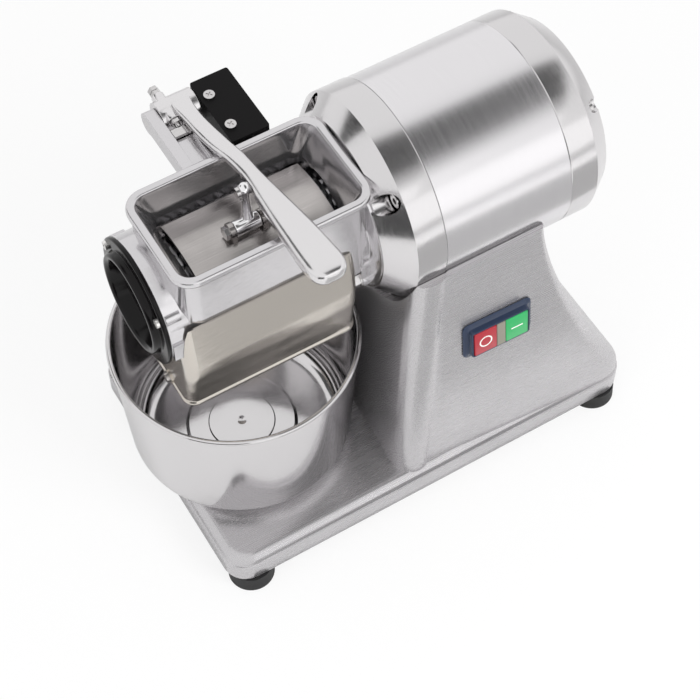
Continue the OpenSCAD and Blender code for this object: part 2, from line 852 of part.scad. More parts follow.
// Ball bearing between two radii, from x over width w
module ball_bearing(r0, r1, x, w) {
    mid = (r0 + r1)/2;
    ball = (r1 - r0 - 2*race_t)/2 + race_depth/2;
    difference() {
        turned([[r0, x], [r0 + race_t, x], [r0 + race_t, x + w], [r0, x + w]]);
        at_axis() translate([x + w/2, 0, 0]) rotate([0, 90, 0]) rotate_extrude($fn = large_fn)
            translate([mid, 0]) circle(r = ball + fit);
    }
    difference() {
        turned([[r1 - race_t, x], [r1, x], [r1, x + w], [r1 - race_t, x + w]]);
        at_axis() translate([x + w/2, 0, 0]) rotate([0, 90, 0]) rotate_extrude($fn = large_fn)
            translate([mid, 0]) circle(r = ball + fit);
    }
    round_axis([for (i = [0:ball_count - 1]) i*360/ball_count])
        at_axis() translate([x + w/2, 0, mid]) sphere(r = ball);
}

module front_bearing() {
    color("lightgray") ball_bearing(shaft_r + fit, bearing_r, bearing_x, bearing_w);
}

module rear_bearing() {
    color("lightgray") ball_bearing(rear_bore_r + fit, rear_bearing_r, rear_bearing_x, rear_bearing_w);
}

module shaft_seal() {
    x = shield_x + seal_set;
    color("black") turned([[shaft_r + fit, x], [seal_r, x], [seal_r, x + seal_w],
        [seal_r - seal_lip, x + seal_w], [seal_r - seal_lip, x + 2*seal_lip],
        [shaft_r + 2*seal_lip, x + 2*seal_lip], [shaft_r + 2*seal_lip, x + seal_w - seal_set],
        [shaft_r + fit, x + seal_w - seal_set]]);
}

module motor_shaft() {
    color("lightgray") difference() {
        turned([[0, shaft_x0], [nose_r, shaft_x0], [nose_r, shaft_x0 + drum_cup_l],
            [shaft_r, shaft_x0 + drum_cup_l], [shaft_r, rear_bearing_x - journal_l],
            [rear_bore_r, rear_bearing_x - journal_l],
            [rear_bore_r, rear_bearing_x + rear_bearing_w + journal_l/2],
            [0, rear_bearing_x + rear_bearing_w + journal_l/2]]);
        axis_block([drum_x1 - drum_disc_t - key_l, -key_w/2, shaft_r - key_h/2],
            [drum_x1 - drum_disc_t, key_w/2, shaft_r + over]);
    }
}

module rotor() {
    color("slategray") {
        turned([[shaft_r + fit, stack_x], [rotor_r, stack_x], [rotor_r, stack_x + stack_l],
            [shaft_r + fit, stack_x + stack_l]]);
    }
}

module cooling_fan() {
    color("dimgray") {
        turned([[shaft_r + fit, fan_x], [fan_hub_r, fan_x], [fan_hub_r, fan_x + fan_w - fan_disc_t],
            [fan_r, fan_x + fan_w - fan_disc_t], [fan_r, fan_x + fan_w], [shaft_r + fit, fan_x + fan_w]]);
        round_axis([for (i = [0:fan_blades - 1]) i*360/fan_blades])
            axis_block([fan_x, -fan_blade_t/2, fan_hub_r - fan_blade_t],
                [fan_x + fan_w - fan_disc_t/2, fan_blade_t/2, fan_r - fan_blade_t]);
    }
}

module motor_mount_bolts() {
    color("gray") at_mount_bolts() {
        translate([0, 0, -gap - saddle_floor - mount_bolt_head_h]) cylinder(r = mount_bolt_head_r,
            h = mount_bolt_head_h, $fn = 6);
        translate([0, 0, -gap - saddle_floor - mount_bolt_head_h]) cylinder(r = mount_bolt_r,
            h = mount_bolt_head_h + saddle_floor);
    }
}

// Inside the stand

module capacitor() {
    color("lightgray") translate([cap_x, cap_y, cap_z]) rotate([0, 90, 0]) {
        cylinder(r = cap_r, h = cap_l);
        translate([0, 0, -clip_t]) cylinder(r = cap_r*0.75, h = clip_t + over);
        for (s = [-1, 1]) translate([0, s*cap_r*0.35, -3*clip_t]) cylinder(r = clip_t, h = 3*clip_t);
    }
}

module capacitor_clip() {
    band_r = cap_r + fit + clip_t;
    color("silver") difference() {
        union() {
            translate([cap_x + cap_l/2, cap_y, cap_z]) rotate([0, 90, 0]) cylinder(r = band_r, h = clip_w);
            block([cap_x + cap_l/2, cap_y - clip_t, foot_h + gap],
                [cap_x + cap_l/2 + clip_w, cap_y + clip_t, cap_z - cap_r]);
            block([cap_x + cap_l/2, cap_y - clip_foot_l, foot_h + gap],
                [cap_x + cap_l/2 + clip_w, cap_y + clip_foot_l, foot_h + gap + clip_t]);
        }
        translate([cap_x + cap_l/2 - over, cap_y, cap_z]) rotate([0, 90, 0])
            cylinder(r = cap_r + fit, h = clip_w + 2*over);
    }
}

module terminal_block() {
    z = foot_h + gap;
    color("ivory") difference() {
        block([terminal_x, terminal_y, z], [terminal_x + terminal_l, terminal_y + terminal_w,
            z + terminal_h]);
        for (i = [1:terminal_ribs - 1])
            block([terminal_x + terminal_l*i/terminal_ribs - clip_t/2, terminal_y - over, z + terminal_h*0.6],
                [terminal_x + terminal_l*i/terminal_ribs + clip_t/2, terminal_y + terminal_w + over,
                    z + terminal_h + over]);
    }
}

module cable_gland() {
    color("black") at_gland() difference() {
        union() {
            translate([0, 0, gap]) cylinder(r = gland_nut_r, h = gland_nut_l, $fn = 6);
            translate([0, 0, gap]) cylinder(r1 = gland_r, r2 = gland_bore_r*1.5, h = gland_l/2);
            translate([0, 0, -gland_l/2]) cylinder(r = gland_r, h = gland_l/2 + 2*gap);
            translate([0, 0, -base_wall - 2*gap - gland_nut_l]) cylinder(r = gland_nut_r,
                h = gland_nut_l, $fn = 6);
        }
        translate([0, 0, -gland_l]) cylinder(r = gland_bore_r, h = 2*gland_l);
    }
}

// Head casting

// Rings of the hopper on the drum axis frame, drawn out by d, from the rim down
function hopper_ring(z, d) =
    let (s = min(1, max(0, (rim_z - z)/rim_z)), t = taper*s)
    ring(mouth_x0 + t - d, mouth_x1 - t + d, mouth_y0 + t - d, mouth_y1 - t + d, max(mouth_r - t + d,
        mouth_r*0.4), z);

// Outer wall of the hopper, upright on the outside
function wall_ring(z, d) =
    ring(mouth_x0 - d, mouth_x1 + d, mouth_y0 - d, mouth_y1 + d, mouth_r + d, z);

module lever_cheek(x0, x1) {
    rod_x(cheek_r, x0, x1, hinge_y, hinge_z, large_fn/2);
    axis_block([x0, mouth_y1 + hopper_wall/2, hinge_z + cheek_r - cheek_depth], [x1, hinge_y,
        hinge_z + cheek_r]);
}

module head_casting() {
    color("whitesmoke") difference() {
        union() {
            at_axis() loft([wall_ring(rim_z - lip_h, rim_w - lip_round/2),
                wall_ring(rim_z - lip_h + lip_round/2, rim_w),
                wall_ring(rim_z - lip_round, rim_w), wall_ring(rim_z - lip_round*0.3, rim_w - lip_round*0.3),
                wall_ring(rim_z, rim_w - lip_round)]);
            at_axis() loft([wall_ring(0, hopper_wall), wall_ring(rim_z - lip_h/2, hopper_wall)]);
            turned([[0, chamber_x], [chamber_r, chamber_x], [chamber_r, flange_x], [flange_r, flange_x],
                [flange_r, shield_x - gap/3], [0, shield_x - gap/3]], seam = 180);
            round_axis(stud_angles) rod_x(ear_r, flange_x - ear_t, flange_x + over, 0, stud_ring);
            rod_x(gusset_r, flange_x - gusset_l, flange_x + over, gusset_y, gusset_z);
            axis_block([flange_x - gusset_l, gusset_y - gusset_r, gusset_z - 2*gusset_r],
                [flange_x + over, gusset_y + gusset_r, gusset_z]);
            round_axis(cap_screw_angles) rod_x(cap_boss_r, chamber_x + over,
                chamber_x + cap_screw_l + over, 0, cap_screw_ring);
            axis_block([chamber_x + over, -chamber_r - front_rib_out, -front_rib_h],
                [mouth_x0 + over, -chamber_r + front_rib_w, front_rib_out]);
            lever_cheek(cheek_x[0], cheek_x[1]);
            lever_cheek(cheek_x[2], cheek_x[3]);
            axis_block([cheek_x[0], mouth_y1 + hopper_wall/2, hinge_z + cheek_r - cheek_depth],
                [cheek_x[3], mouth_y1 + rim_w + bridge_l + stop_block_l, hinge_z + cheek_r - 2*bridge_drop]);
            axis_block([cheek_x[0], mouth_y1 + hopper_wall/2, hinge_z + cheek_r - cheek_depth],
                [cheek_x[3], mouth_y1 + rim_w + bridge_l, hinge_z + cheek_r - bridge_drop]);
            axis_block([lock_x0, mouth_y1 + hopper_wall/2, lock_top - lock_h - shelf_t],
                [lock_x0 + lock_w, lock_y0 + lock_l*0.86, lock_top - lock_h - gap/3]);
            axis_block([lock_x0, mouth_y1 + hopper_wall/2, lock_top - lock_h - 3*shelf_t],
                [lock_x0 + shelf_t, lock_y0 + lock_l*0.7, lock_top - lock_h - gap]);
        }
        at_axis() loft([hopper_ring(0, 0), hopper_ring(rim_z*0.4, 0), hopper_ring(rim_z*0.75, 0),
            hopper_ring(rim_z - lip_round, 0), hopper_ring(rim_z, lip_round*0.4),
                hopper_ring(rim_z + over, lip_round*0.4)]);
        turned([[0, chamber_x - over], [bore_r, chamber_x - over], [bore_r, flange_x - chamber_end_t],
            [shaft_hole_r, flange_x - chamber_end_t], [shaft_hole_r, shield_x + over], [0, shield_x + over]]);
        axis_block([mouth_x0 + taper, -outlet_half, -chamber_r - over], [mouth_x1 - taper, outlet_half, 0]);
        rod_x(pin_r + fit, cheek_x[0] - over, cheek_x[3] + over, hinge_y, hinge_z);
        round_axis(stud_angles) rod_x(stud_r + fit, flange_x - ear_t - over, shield_x + over, 0, stud_ring);
        round_axis(cap_screw_angles) rod_x(cap_screw_r + fit, chamber_x - over,
            chamber_x + cap_screw_l, 0, cap_screw_ring);
        for (s = lock_screw_share) at_axis()
            translate([lock_x0 + lock_screw_inset, lock_y0 + lock_l*s, lock_top - lock_h - 3*shelf_t - over])
                cylinder(r = lock_screw_r + fit, h = lock_h);
    }
}

module head_studs() {
    color("lightgray") round_axis(stud_angles)
        rod_x(stud_r, flange_x - stud_out, shield_x + stud_in, 0, stud_ring);
}

module head_nuts() {
    x = flange_x - ear_t - gap/3;
    color("silver") round_axis(stud_angles) difference() {
        union() {
            rod_x(washer_r, x - washer_t, x, 0, stud_ring);
            hex_x(nut_r, x - washer_t - nut_h, x - washer_t/2, 0, stud_ring);
        }
        rod_x(stud_r + fit, x - 2*nut_h, x + over, 0, stud_ring);
    }
}

module end_cap() {
    dish_x = cap_face_x - end_dish_out;
    color("#1c1c1f") difference() {
        turned([[0, chamber_x + end_spigot_l], [bore_r - fit, chamber_x + end_spigot_l], [bore_r - fit,
            chamber_x - gap/3],
            [end_cap_r, chamber_x - gap/3], [end_cap_r, cap_face_x + end_round],
                [end_cap_r - end_round, cap_face_x],
            [end_dish_r, cap_face_x], [end_dish_r - end_dish_round*0.3, dish_x + end_dish_round],
            [end_dish_r - end_dish_round, dish_x], [end_recess_r + end_dish_round, dish_x],
            [end_recess_r, dish_x + end_dish_round], [end_recess_r - end_dish_round,
                chamber_x + end_spigot_l - end_recess_floor],
            [end_step_r, chamber_x + end_spigot_l - end_recess_floor],
            [end_step_r, chamber_x + end_spigot_l - end_recess_floor - end_step_h],
            [0, chamber_x + end_spigot_l - end_recess_floor - end_step_h]]);
        round_axis(cap_screw_angles) rod_x(cap_screw_r + fit, cap_face_x - over, chamber_x + over, 0,
            cap_screw_ring);
    }
}

module end_cap_screws() {
    color("silver") round_axis(cap_screw_angles) difference() {
        union() {
            rod_x(cap_screw_head_r, cap_face_x - cap_screw_head_h, cap_face_x, 0, cap_screw_ring);
            rod_x(cap_screw_r, cap_face_x - over, cap_face_x + cap_screw_l, 0, cap_screw_ring);
        }
        for (a = [0, 90]) at_axis() translate([cap_face_x - cap_screw_head_h, 0,
            cap_screw_ring]) rotate([a, 0, 0])
            block([-over, -slot_cut_w/2, -cap_screw_head_r*0.7], [slot_cut_depth, slot_cut_w/2,
                cap_screw_head_r*0.7]);
    }
}

// Chute

// Outline of the chute at one of its heights, drawn in by d
function chute_ring(i, d) =
    ring(chute_x0 + d, chute_x1 - d, -chute_front - chute_t - chute_swell*chute_out_shares[i] + d,
        chute_y_back - d,
        chute_corner - d, -chute_drop*chute_height_shares[i], 3);

module discharge_chute() {
    last = len(chute_height_shares) - 1;
    front = -chute_front - chute_t;
    color("silver") difference() {
        union() {
            at_axis() difference() {
                loft([for (i = [last:-1:0]) chute_ring(i, 0)]);
                loft(concat([ring(chute_x0 + chute_t, chute_x1 - chute_t, front + chute_t,
                    chute_y_back - chute_t,
                        chute_corner - chute_t, -chute_drop*chute_height_shares[last] - over, 3)],
                    [for (i = [last:-1:0]) chute_ring(i, chute_t)],
                    [ring(chute_x0 + chute_t, chute_x1 - chute_t, front + chute_t, chute_y_back - chute_t,
                        chute_corner - chute_t, -chute_drop*chute_height_shares[0] + over, 3)]));
            }
            at_axis() difference() {
                loft([ring(chute_x0 - chute_bead*0.3, chute_x1 + chute_bead*0.3, front - chute_bead*0.3,
                        chute_y_back + chute_bead*0.3, chute_corner, -chute_drop, 3),
                    ring(chute_x0 - chute_bead, chute_x1 + chute_bead, front - chute_bead,
                        chute_y_back + chute_bead,
                        chute_corner, -chute_drop + chute_bead, 3),
                    ring(chute_x0 - chute_bead, chute_x1 + chute_bead, front - chute_bead,
                        chute_y_back + chute_bead,
                        chute_corner, -chute_drop + 2*chute_bead, 3),
                    ring(chute_x0, chute_x1, front, chute_y_back, chute_corner,
                        -chute_drop + 4*chute_bead, 3)]);
                loft([ring(chute_x0 + chute_t, chute_x1 - chute_t, front + chute_t, chute_y_back - chute_t,
                        chute_corner - chute_t, -chute_drop - over, 3),
                    ring(chute_x0 + chute_t, chute_x1 - chute_t, front + chute_t, chute_y_back - chute_t,
                        chute_corner - chute_t, -chute_drop + 5*chute_bead, 3)]);
            }
            rod_x(chute_lug_r, chute_x0 - chute_lug_t/2, chute_x0 + chute_lug_t/2, -chute_lug_y,
                -chute_lug_z + chute_lug_r);
        }
        rod_x(chamber_r + gap, chamber_x - over, flange_x, fn = large_fn);
        round_axis(cap_screw_angles)
            rod_x(cap_boss_r + gap, chamber_x - over, chamber_x + cap_screw_l + 2*over, 0, cap_screw_ring);
        axis_block([chute_x0 + 2*chute_t, -chute_front, -chamber_wall], [flange_x, chute_y_back + over,
            rim_z]);
        axis_block([chamber_x - over, -chamber_r - front_rib_out - gap, -front_rib_h - gap],
            [mouth_x0 + over + gap, -chamber_r + front_rib_w + gap, rim_z]);
        axis_block([chute_x0 - over, -chute_front + chute_t, -chamber_wall], [flange_x,
            chute_y_back + over, rim_z]);
        rod_x(chute_screw_r + fit, chute_x0 - 2*chute_lug_t, chute_x0 + 2*chute_lug_t, -chute_lug_y,
            -chute_lug_z + chute_lug_r);
    }
}

module chute_screws() {
    z = -chute_lug_z + chute_lug_r;
    x = chute_x0 - chute_lug_t/2 - gap/3;
    color("silver") {
        rod_x(chute_screw_head_r, x - chute_screw_head_h, x, -chute_lug_y, z);
        rod_x(chute_screw_r, x - over, x + chute_screw_l, -chute_lug_y, z);
    }
}

// Grating drum with its rasp teeth: a tooth at every second point, staggered from row to row

function drum_point(i, j) =
    let (x = drum_x0 + drum_l*i/tooth_rings,
        tooth = i%2 == 1 && i > 0 && i < tooth_rings && (j + (i%4 == 1 ? 0 : 1))%2 == 0,
        r = drum_r + (tooth ? tooth_h : 0),
        a = 360*(j + (tooth ? 0.45 : 0))/tooth_segments)
    [x, r*cos(a), r*sin(a)];

module grating_drum() {
    color("lightsteelblue") difference() {
        at_axis() loft([for (i = [0:tooth_rings]) [for (j = [0:tooth_segments - 1]) drum_point(i, j)]]);
        turned([[drum_hub_r, drum_x0 - over], [drum_r - drum_wall, drum_x0 - over],
            [drum_r - drum_wall, drum_x1 - drum_disc_t], [drum_hub_r, drum_x1 - drum_disc_t]]);
        turned([[0, drum_x0 - over], [drum_hub_r + over, drum_x0 - over], [drum_hub_r + over,
            shaft_x0 + drum_cup_l],
            [shaft_r + fit, shaft_x0 + drum_cup_l], [shaft_r + fit, drum_x1 + over], [0, drum_x1 + over]]);
        axis_block([drum_x1 - drum_disc_t - key_l, -key_w/2 - fit, 0],
            [drum_x1 + over, key_w/2 + fit, shaft_r + key_h/2 + fit]);
    }
}

module drum_key() {
    color("gray") axis_block([drum_x1 - drum_disc_t - key_l + fit, -key_w/2 + fit, shaft_r - key_h/2 + fit],
        [drum_x1 - drum_disc_t - fit, key_w/2 - fit, shaft_r + key_h/2 - fit]);
}

module drum_nut() {
    color("silver") difference() {
        hex_x(drum_nut_r, shaft_x0 + drum_cup_l - drum_nut_h - fit, shaft_x0 + drum_cup_l - fit);
        rod_x(nose_r + fit, shaft_x0, shaft_x0 + 2*drum_cup_l);
    }
}

// Lever, hinge and stop

// Section of the lever at station i
function lever_ring(i) =
    let (w = grip_w*lever_wide_shares[i],
        deep = hub_r*lever_deep_shares[i],
        top = hinge_z*lever_top_shares[i],
        cx = lever_x + lever_bend*lever_side_shares[i],
        r = min(w, deep)*lever_corner_share)
    [for (p = ring(cx - w/2, cx + w/2, top - deep, top, r, 0, 4)) [p[0], hinge_y*lever_y_shares[i], p[1]]];

// Profile of the slot in the hub that clears the right cheek as the lever swings: Y and Z from the hinge
function cheek_slot() =
    let (n = 24, inner = cheek_r + side_gap, outer = hub_r + over)
    concat(
        [for (i = [0:n]) let (a = 180 + (180 + slot_end)*i/n) [outer*cos(a), outer*sin(a)]],
        [for (i = [0:n]) let (a = slot_end + (slot_top - slot_end)*i/n) [inner*cos(a), inner*sin(a)]],
        [[-pin_r/2, inner], [-2*hub_r, inner], [-2*hub_r, 0]]);

module lever() {
    last = len(lever_y_shares) - 1;
    color("whitesmoke") difference() {
        union() {
            at_axis() loft([for (i = [0:last]) lever_ring(i)]);
            rod_x(hub_r, lever_hub_x[0], lever_hub_x[1], hinge_y, hinge_z, large_fn/2);
            at_axis() translate([stop_x, hinge_y - stop_boss, hinge_z + stop_z]) rotate([-90, 0, 0])
                cylinder(r = stop_boss_r, h = 2*stop_boss);
        }
        rod_x(pin_r + fit, lever_hub_x[0] - over, lever_hub_x[1] + over, hinge_y, hinge_z);
        at_axis() translate([cheek_x[2] - side_gap, hinge_y, hinge_z]) rotate([90, 0, 90])
            linear_extrude(cheek_x[3] - cheek_x[2] + 2*side_gap) polygon(cheek_slot());
        at_axis() translate([lever_hub_x[1] - groove_d, hinge_y, hinge_z]) rotate([pad_half_angle, 0, 0])
            rotate([0, 90, 0]) rotate_extrude(angle = 360 - 2*pad_half_angle, $fn = large_fn)
                translate([groove_r0, 0]) square([groove_r1 - groove_r0, groove_d + over]);
        at_axis() translate([stop_x, hinge_y - 2*stop_boss, hinge_z + stop_z]) rotate([-90, 0, 0])
            cylinder(r = stop_r + fit, h = 4*stop_boss);
        rod_x(link_screw_r + fit, lever_x - grip_w, lever_x, link_top_y, link_top_z);
        axis_block([lever_left_x - grip_w/2, link_top_y - 2*link_top_r, link_top_z - 2*link_top_r],
            [lever_left_x + 2*gap, link_top_y + 2*link_top_r, link_top_z + link_top_r + side_gap]);
    }
}

module hinge_pin() {
    color("lightgray") rod_x(pin_r, cheek_x[0], lever_hub_x[1] - over, hinge_y, hinge_z);
}

module stop_screw() {
    head_y = hinge_y + stop_boss + stop_hex_h + 2*gap;
    color("silver") at_axis() translate([stop_x, 0, hinge_z + stop_z]) rotate([-90, 0, 0]) {
        translate([0, 0, hinge_y - stop_tip]) cylinder(r = stop_r, h = head_y - hinge_y + stop_tip + over);
        translate([0, 0, head_y]) cylinder(r = stop_hex_r, h = stop_hex_h, $fn = 6);
    }
}

module stop_locknut() {
    color("silver") at_axis() translate([stop_x, 0, hinge_z + stop_z]) rotate([-90, 0, 0]) {
        for (y = [hinge_y + stop_boss + gap/3, hinge_y - stop_boss - stop_hex_h - gap/3])
            translate([0, 0, y]) difference() {
                cylinder(r = stop_hex_r, h = stop_hex_h, $fn = 6);
                translate([0, 0, -over]) cylinder(r = stop_r + fit, h = stop_hex_h + 2*over);
            }
    }
}

module stop_block() {
    y1 = hinge_y - stop_tip - gap;
    color("silver") axis_block([cheek_x[1] + side_gap, y1 - stop_block_l,
        hinge_z + cheek_r - 2*bridge_drop + gap/3],
        [cheek_x[2] - side_gap, y1, hinge_z + stop_z + stop_r/2]);
}

// Pusher and its link

module pusher_link() {
    x0 = link_x - link_l/2;
    x1 = lever_left_x;
    color("whitesmoke") difference() {
        hull() {
            rod_x(link_r, x0, x0 + link_l, pusher_bolt_y, pusher_bolt_z, 32);
            rod_x(link_top_r, x1 - link_top_l, x1, link_top_y, link_top_z, 32);
        }
        rod_x(pusher_bolt_r + fit, x0 - over, x0 + link_l + over, pusher_bolt_y, pusher_bolt_z);
        rod_x(link_screw_r + fit, x1 - link_top_l - over, x1 + over, link_top_y, link_top_z);
        rod_x(link_screw_head_r + side_gap, x0, x1 - link_top_l, link_top_y, link_top_z);
        for (s = [-1, 1]) axis_block([link_x + s*link_l*0.75 - link_l*0.2, pusher_bolt_y - 2*link_r,
            pusher_bolt_z + link_r*1.1],
            [link_x + s*link_l*0.75 + link_l*0.2, pusher_bolt_y + 2*link_r, link_top_z]);
    }
}

module link_screw() {
    x1 = lever_left_x - link_top_l;
    color("silver") {
        rod_x(link_screw_head_r, x1 - link_screw_head_h - gap/3, x1 - gap/3, link_top_y, link_top_z);
        rod_x(link_screw_r, x1 - over, lever_x - over, link_top_y, link_top_z);
    }
}

module pusher() {
    y0 = pusher_y - pusher_w/2;
    y1 = pusher_y + pusher_w/2;
    crown = pusher_under_r + pusher_crown_t;
    under = [for (i = [0:12]) let (y = y1 + (y0 + pusher_crown_t/2 - y1)*i/12)
        [y, max(pusher_skirt_z, sqrt(max(0, pow(pusher_under_r, 2) - pow(y, 2))))]];
    top = [for (i = [0:16]) let (u = -1 + i/8)
        [pusher_y + u*pusher_w/2, crown - pusher_drop*u*u]];
    ears = [link_x - link_l/2 - ear_w - side_gap, link_x + link_l/2 + side_gap];
    color("gainsboro") difference() {
        union() {
            at_axis() translate([mouth_cx - pusher_l/2, 0, 0]) rotate([90, 0, 90]) linear_extrude(pusher_l)
                polygon(concat(top, under, [[y0, pusher_skirt_z]]));
            for (x = ears) {
                rod_x(pusher_ear_r, x, x + ear_w, pusher_bolt_y, pusher_bolt_z);
                axis_block([x, pusher_bolt_y - pusher_ear_r, crown - pusher_crown_t/2],
                    [x + ear_w, pusher_bolt_y + pusher_ear_r, pusher_bolt_z]);
            }
        }
        rod_x(pusher_bolt_r + fit, ears[0] - over, ears[1] + ear_w + over, pusher_bolt_y, pusher_bolt_z);
        rod_x(link_r + gap, link_x - link_l/2 - side_gap, link_x + link_l/2 + side_gap, pusher_bolt_y,
            pusher_bolt_z);
    }
}

module pusher_bolt() {
    x0 = link_x - link_l/2 - ear_w - side_gap;
    x1 = link_x + link_l/2 + ear_w + side_gap;
    color("silver") {
        hex_x(pusher_hex_r, x0 - pusher_hex_h - gap/3, x0 - gap/3, pusher_bolt_y, pusher_bolt_z);
        rod_x(pusher_bolt_r, x0 - over, x1 + 2*pusher_hex_h, pusher_bolt_y, pusher_bolt_z);
    }
}

module pusher_nut() {
    x1 = link_x + link_l/2 + ear_w + side_gap + gap/3;
    color("silver") difference() {
        hex_x(pusher_hex_r, x1, x1 + pusher_hex_h, pusher_bolt_y, pusher_bolt_z);
        rod_x(pusher_bolt_r + fit, x1 - over, x1 + 2*pusher_hex_h, pusher_bolt_y, pusher_bolt_z);
    }
}

// Interlock

module interlock_housing() {
    z0 = lock_top - lock_h;
    color("#17171a") difference() {
        at_axis() translate([lock_x0, lock_y0, z0]) linear_extrude(lock_h)
            translate([lock_r, lock_r]) offset(r = lock_r) square([lock_w - 2*lock_r, lock_l - 2*lock_r]);
        axis_block([lock_x0 + 2*lock_screw_inset - lock_wall, lock_y0 + lock_wall, z0 + lock_wall],
            [lock_x0 + lock_w - lock_wall, lock_y0 + lock_l - lock_wall, lock_top - lock_wall]);
        rod_x(lock_pin_r + fit, lock_x0 - over, lock_x0 + 2*lock_screw_inset, hinge_y,
            hinge_z - lock_pin_ring);
        for (s = lock_screw_share) at_axis()
            translate([lock_x0 + lock_screw_inset, lock_y0 + lock_l*s, z0 - over])
                cylinder(r = lock_screw_r + fit, h = lock_h + 2*over);
    }
}

module interlock_screws() {
    color("silver") for (s = lock_screw_share) at_axis()
        translate([lock_x0 + lock_screw_inset, lock_y0 + lock_l*s, lock_top]) difference() {
            union() {
                translate([0, 0, gap/3]) cylinder(r = lock_screw_head_r, h = lock_screw_head_h);
                translate([0, 0, -lock_h - 2*shelf_t]) cylinder(r = lock_screw_r,
                    h = lock_h + 2*shelf_t + over);
            }
            for (a = [45, 135]) translate([0, 0, lock_screw_head_h + gap/3]) rotate([0, 0, a])
                block([-lock_screw_head_r*0.6, -slot_cut_w/2, -slot_cut_depth], [lock_screw_head_r*0.6,
                    slot_cut_w/2, over]);
        }
}

module interlock_switch() {
    x0 = lock_x0 + 2*lock_screw_inset + interlock_travel;
    y0 = hinge_y - micro_l/2;
    z0 = lock_top - lock_h + lock_wall + gap/3;
    color("dimgray") {
        axis_block([x0 + micro_gap, y0, z0], [x0 + micro_gap + micro_w, y0 + micro_l, z0 + micro_h]);
        rod_x(lock_pin_r/2, x0 + micro_lead, x0 + micro_gap + micro_lead, hinge_y, hinge_z - lock_pin_ring);
    }
}

module interlock_pin() {
    color("silver") rod_x(lock_pin_r, lever_hub_x[1] + pad_gap,
        lock_x0 + 2*lock_screw_inset + interlock_travel,
        hinge_y, hinge_z - lock_pin_ring);
}

// Push buttons, drawn on the wall frame with Z up along the wall and Y into the stand

// Rounded plate in the XZ plane of the wall, from y0 to y1
module wall_plate(w, h, r, y0, y1) {
    translate([0, y1, 0]) rotate([90, 0, 0]) linear_extrude(y1 - y0)
        offset(r = r) square([w - 2*r, h - 2*r], center = true);
}

module button_housing() {
    w = button_plate_w;
    h = button_plate_h;
    inner_w = w - 2*plate_margin;
    inner_h = h - 2*plate_margin;
    color("#1b2436") at_buttons() difference() {
        union() {
            hull() {
                wall_plate(w, h, plate_r, -button_out, -button_out + plate_edge);
                wall_plate(w + 2*button_flare, h + 2*button_flare, plate_r + button_flare/2,
                    -plate_edge - gap, -gap);
            }
            block([-block_w/2, -plate_edge, -block_h/2], [block_w/2, base_wall*2, block_h/2]);
        }
        block([-inner_w/2, -button_out - over, -inner_h/2], [inner_w/2, -housing_t, inner_h/2]);
        block([-block_w/2 + housing_t, -housing_t - over, -block_h/2 + housing_t],
            [block_w/2 - housing_t, base_wall*2 + over, block_h/2 - housing_t]);
    }
}

module button_block() {
    color("#30343c") at_buttons() {
        block([-block_w/2 + housing_t + gap, button_travel + button_body_l - button_out + gap,
                -block_h/2 + housing_t + gap],
            [block_w/2 - housing_t - gap, block_l, block_h/2 - housing_t - gap]);
        block([-lamp_w/2 + gap, -button_out + lamp_t, -block_h/2 + button_step],
            [lamp_w/2 - gap, block_l/2, block_h/2 - button_step]);
    }
}

// One push button: its left edge, its width and whether it carries a ring or a bar
module push_button(x0, w, ringed) {
    inner_h = button_plate_h - 2*plate_margin;
    face = -button_out - button_proud;
    difference() {
        union() {
            block([x0, face, -inner_h/2 + button_gap], [x0 + w, face + button_t, inner_h/2 - button_gap]);
            block([x0 + button_step, face + button_t/2, -block_h/2 + button_step],
                [x0 + w - button_step, face + button_body_l, block_h/2 - button_step]);
        }
        if (ringed) translate([x0 + w/2, face + mark_depth, 0]) rotate([90, 0, 0]) difference() {
            cylinder(r = mark_r, h = 2*mark_depth);
            translate([0, 0, -over]) cylinder(r = mark_r - mark_w, h = 4*over);
        }
        if (!ringed) block([x0 + w/2 - mark_r, face - over, -mark_w/2], [x0 + w/2 + mark_r,
            face + mark_depth, mark_w/2]);
    }
}

button_w = (button_plate_w - 2*plate_margin - lamp_w)/2 - 2*button_gap;

module stop_button() {
    color("#c4303c") at_buttons() push_button(-lamp_w/2 - button_gap - button_w, button_w, true);
}

module start_button() {
    color("#3fae63") at_buttons() push_button(lamp_w/2 + button_gap, button_w, false);
}

module lamp_window() {
    inner_h = button_plate_h - 2*plate_margin;
    color("#8d8a7d") at_buttons() block([-lamp_w/2, -button_out - button_proud/2, -inner_h/2 + gap],
        [lamp_w/2, -button_out + lamp_t - gap, inner_h/2 - gap]);
}

// Bowl

module bowl() {
    t = bowl_wall;
    z0 = deck_z + gap;
    top = z0 + bowl_h;
    n = 10;
    wall_x = bowl_r - bowl_bead_r;
    round_y = bowl_round_r;
    outer = [for (i = [0:n]) [bowl_low_r - round_y + round_y*sin(90*i/n),
        z0 + round_y - round_y*cos(90*i/n)]];
    inner = [for (i = [n:-1:0]) [bowl_low_r - round_y + (round_y - t)*sin(90*i/n),
        z0 + round_y - (round_y - t)*cos(90*i/n)]];
    step0 = bowl_step_r + bowl_step_w;
    ring_z = z0 + bowl_step_h - bowl_ridge;
    color("silver") translate([bowl_x, axis_y, 0]) rotate_extrude($fn = large_fn) {
        polygon(concat(
            [[0, z0 + bowl_step_h], [bowl_centre_r, z0 + bowl_step_h], [bowl_ring_r, ring_z],
                [bowl_step_r, ring_z], [step0, z0]],
            outer, [[wall_x, top - bowl_bead_r]], [[wall_x - t, top - bowl_bead_r]], inner,
            [[step0, z0 + t], [bowl_step_r, ring_z + t], [bowl_ring_r, ring_z + t],
                [bowl_centre_r, z0 + bowl_step_h + t], [bowl_dimple_r, z0 + bowl_step_h + t],
                [0, z0 + bowl_step_h + t - bowl_dimple_h]]));
        translate([bowl_r - bowl_bead_r - t/2, top - bowl_bead_r]) circle(r = bowl_bead_r);
    }
}

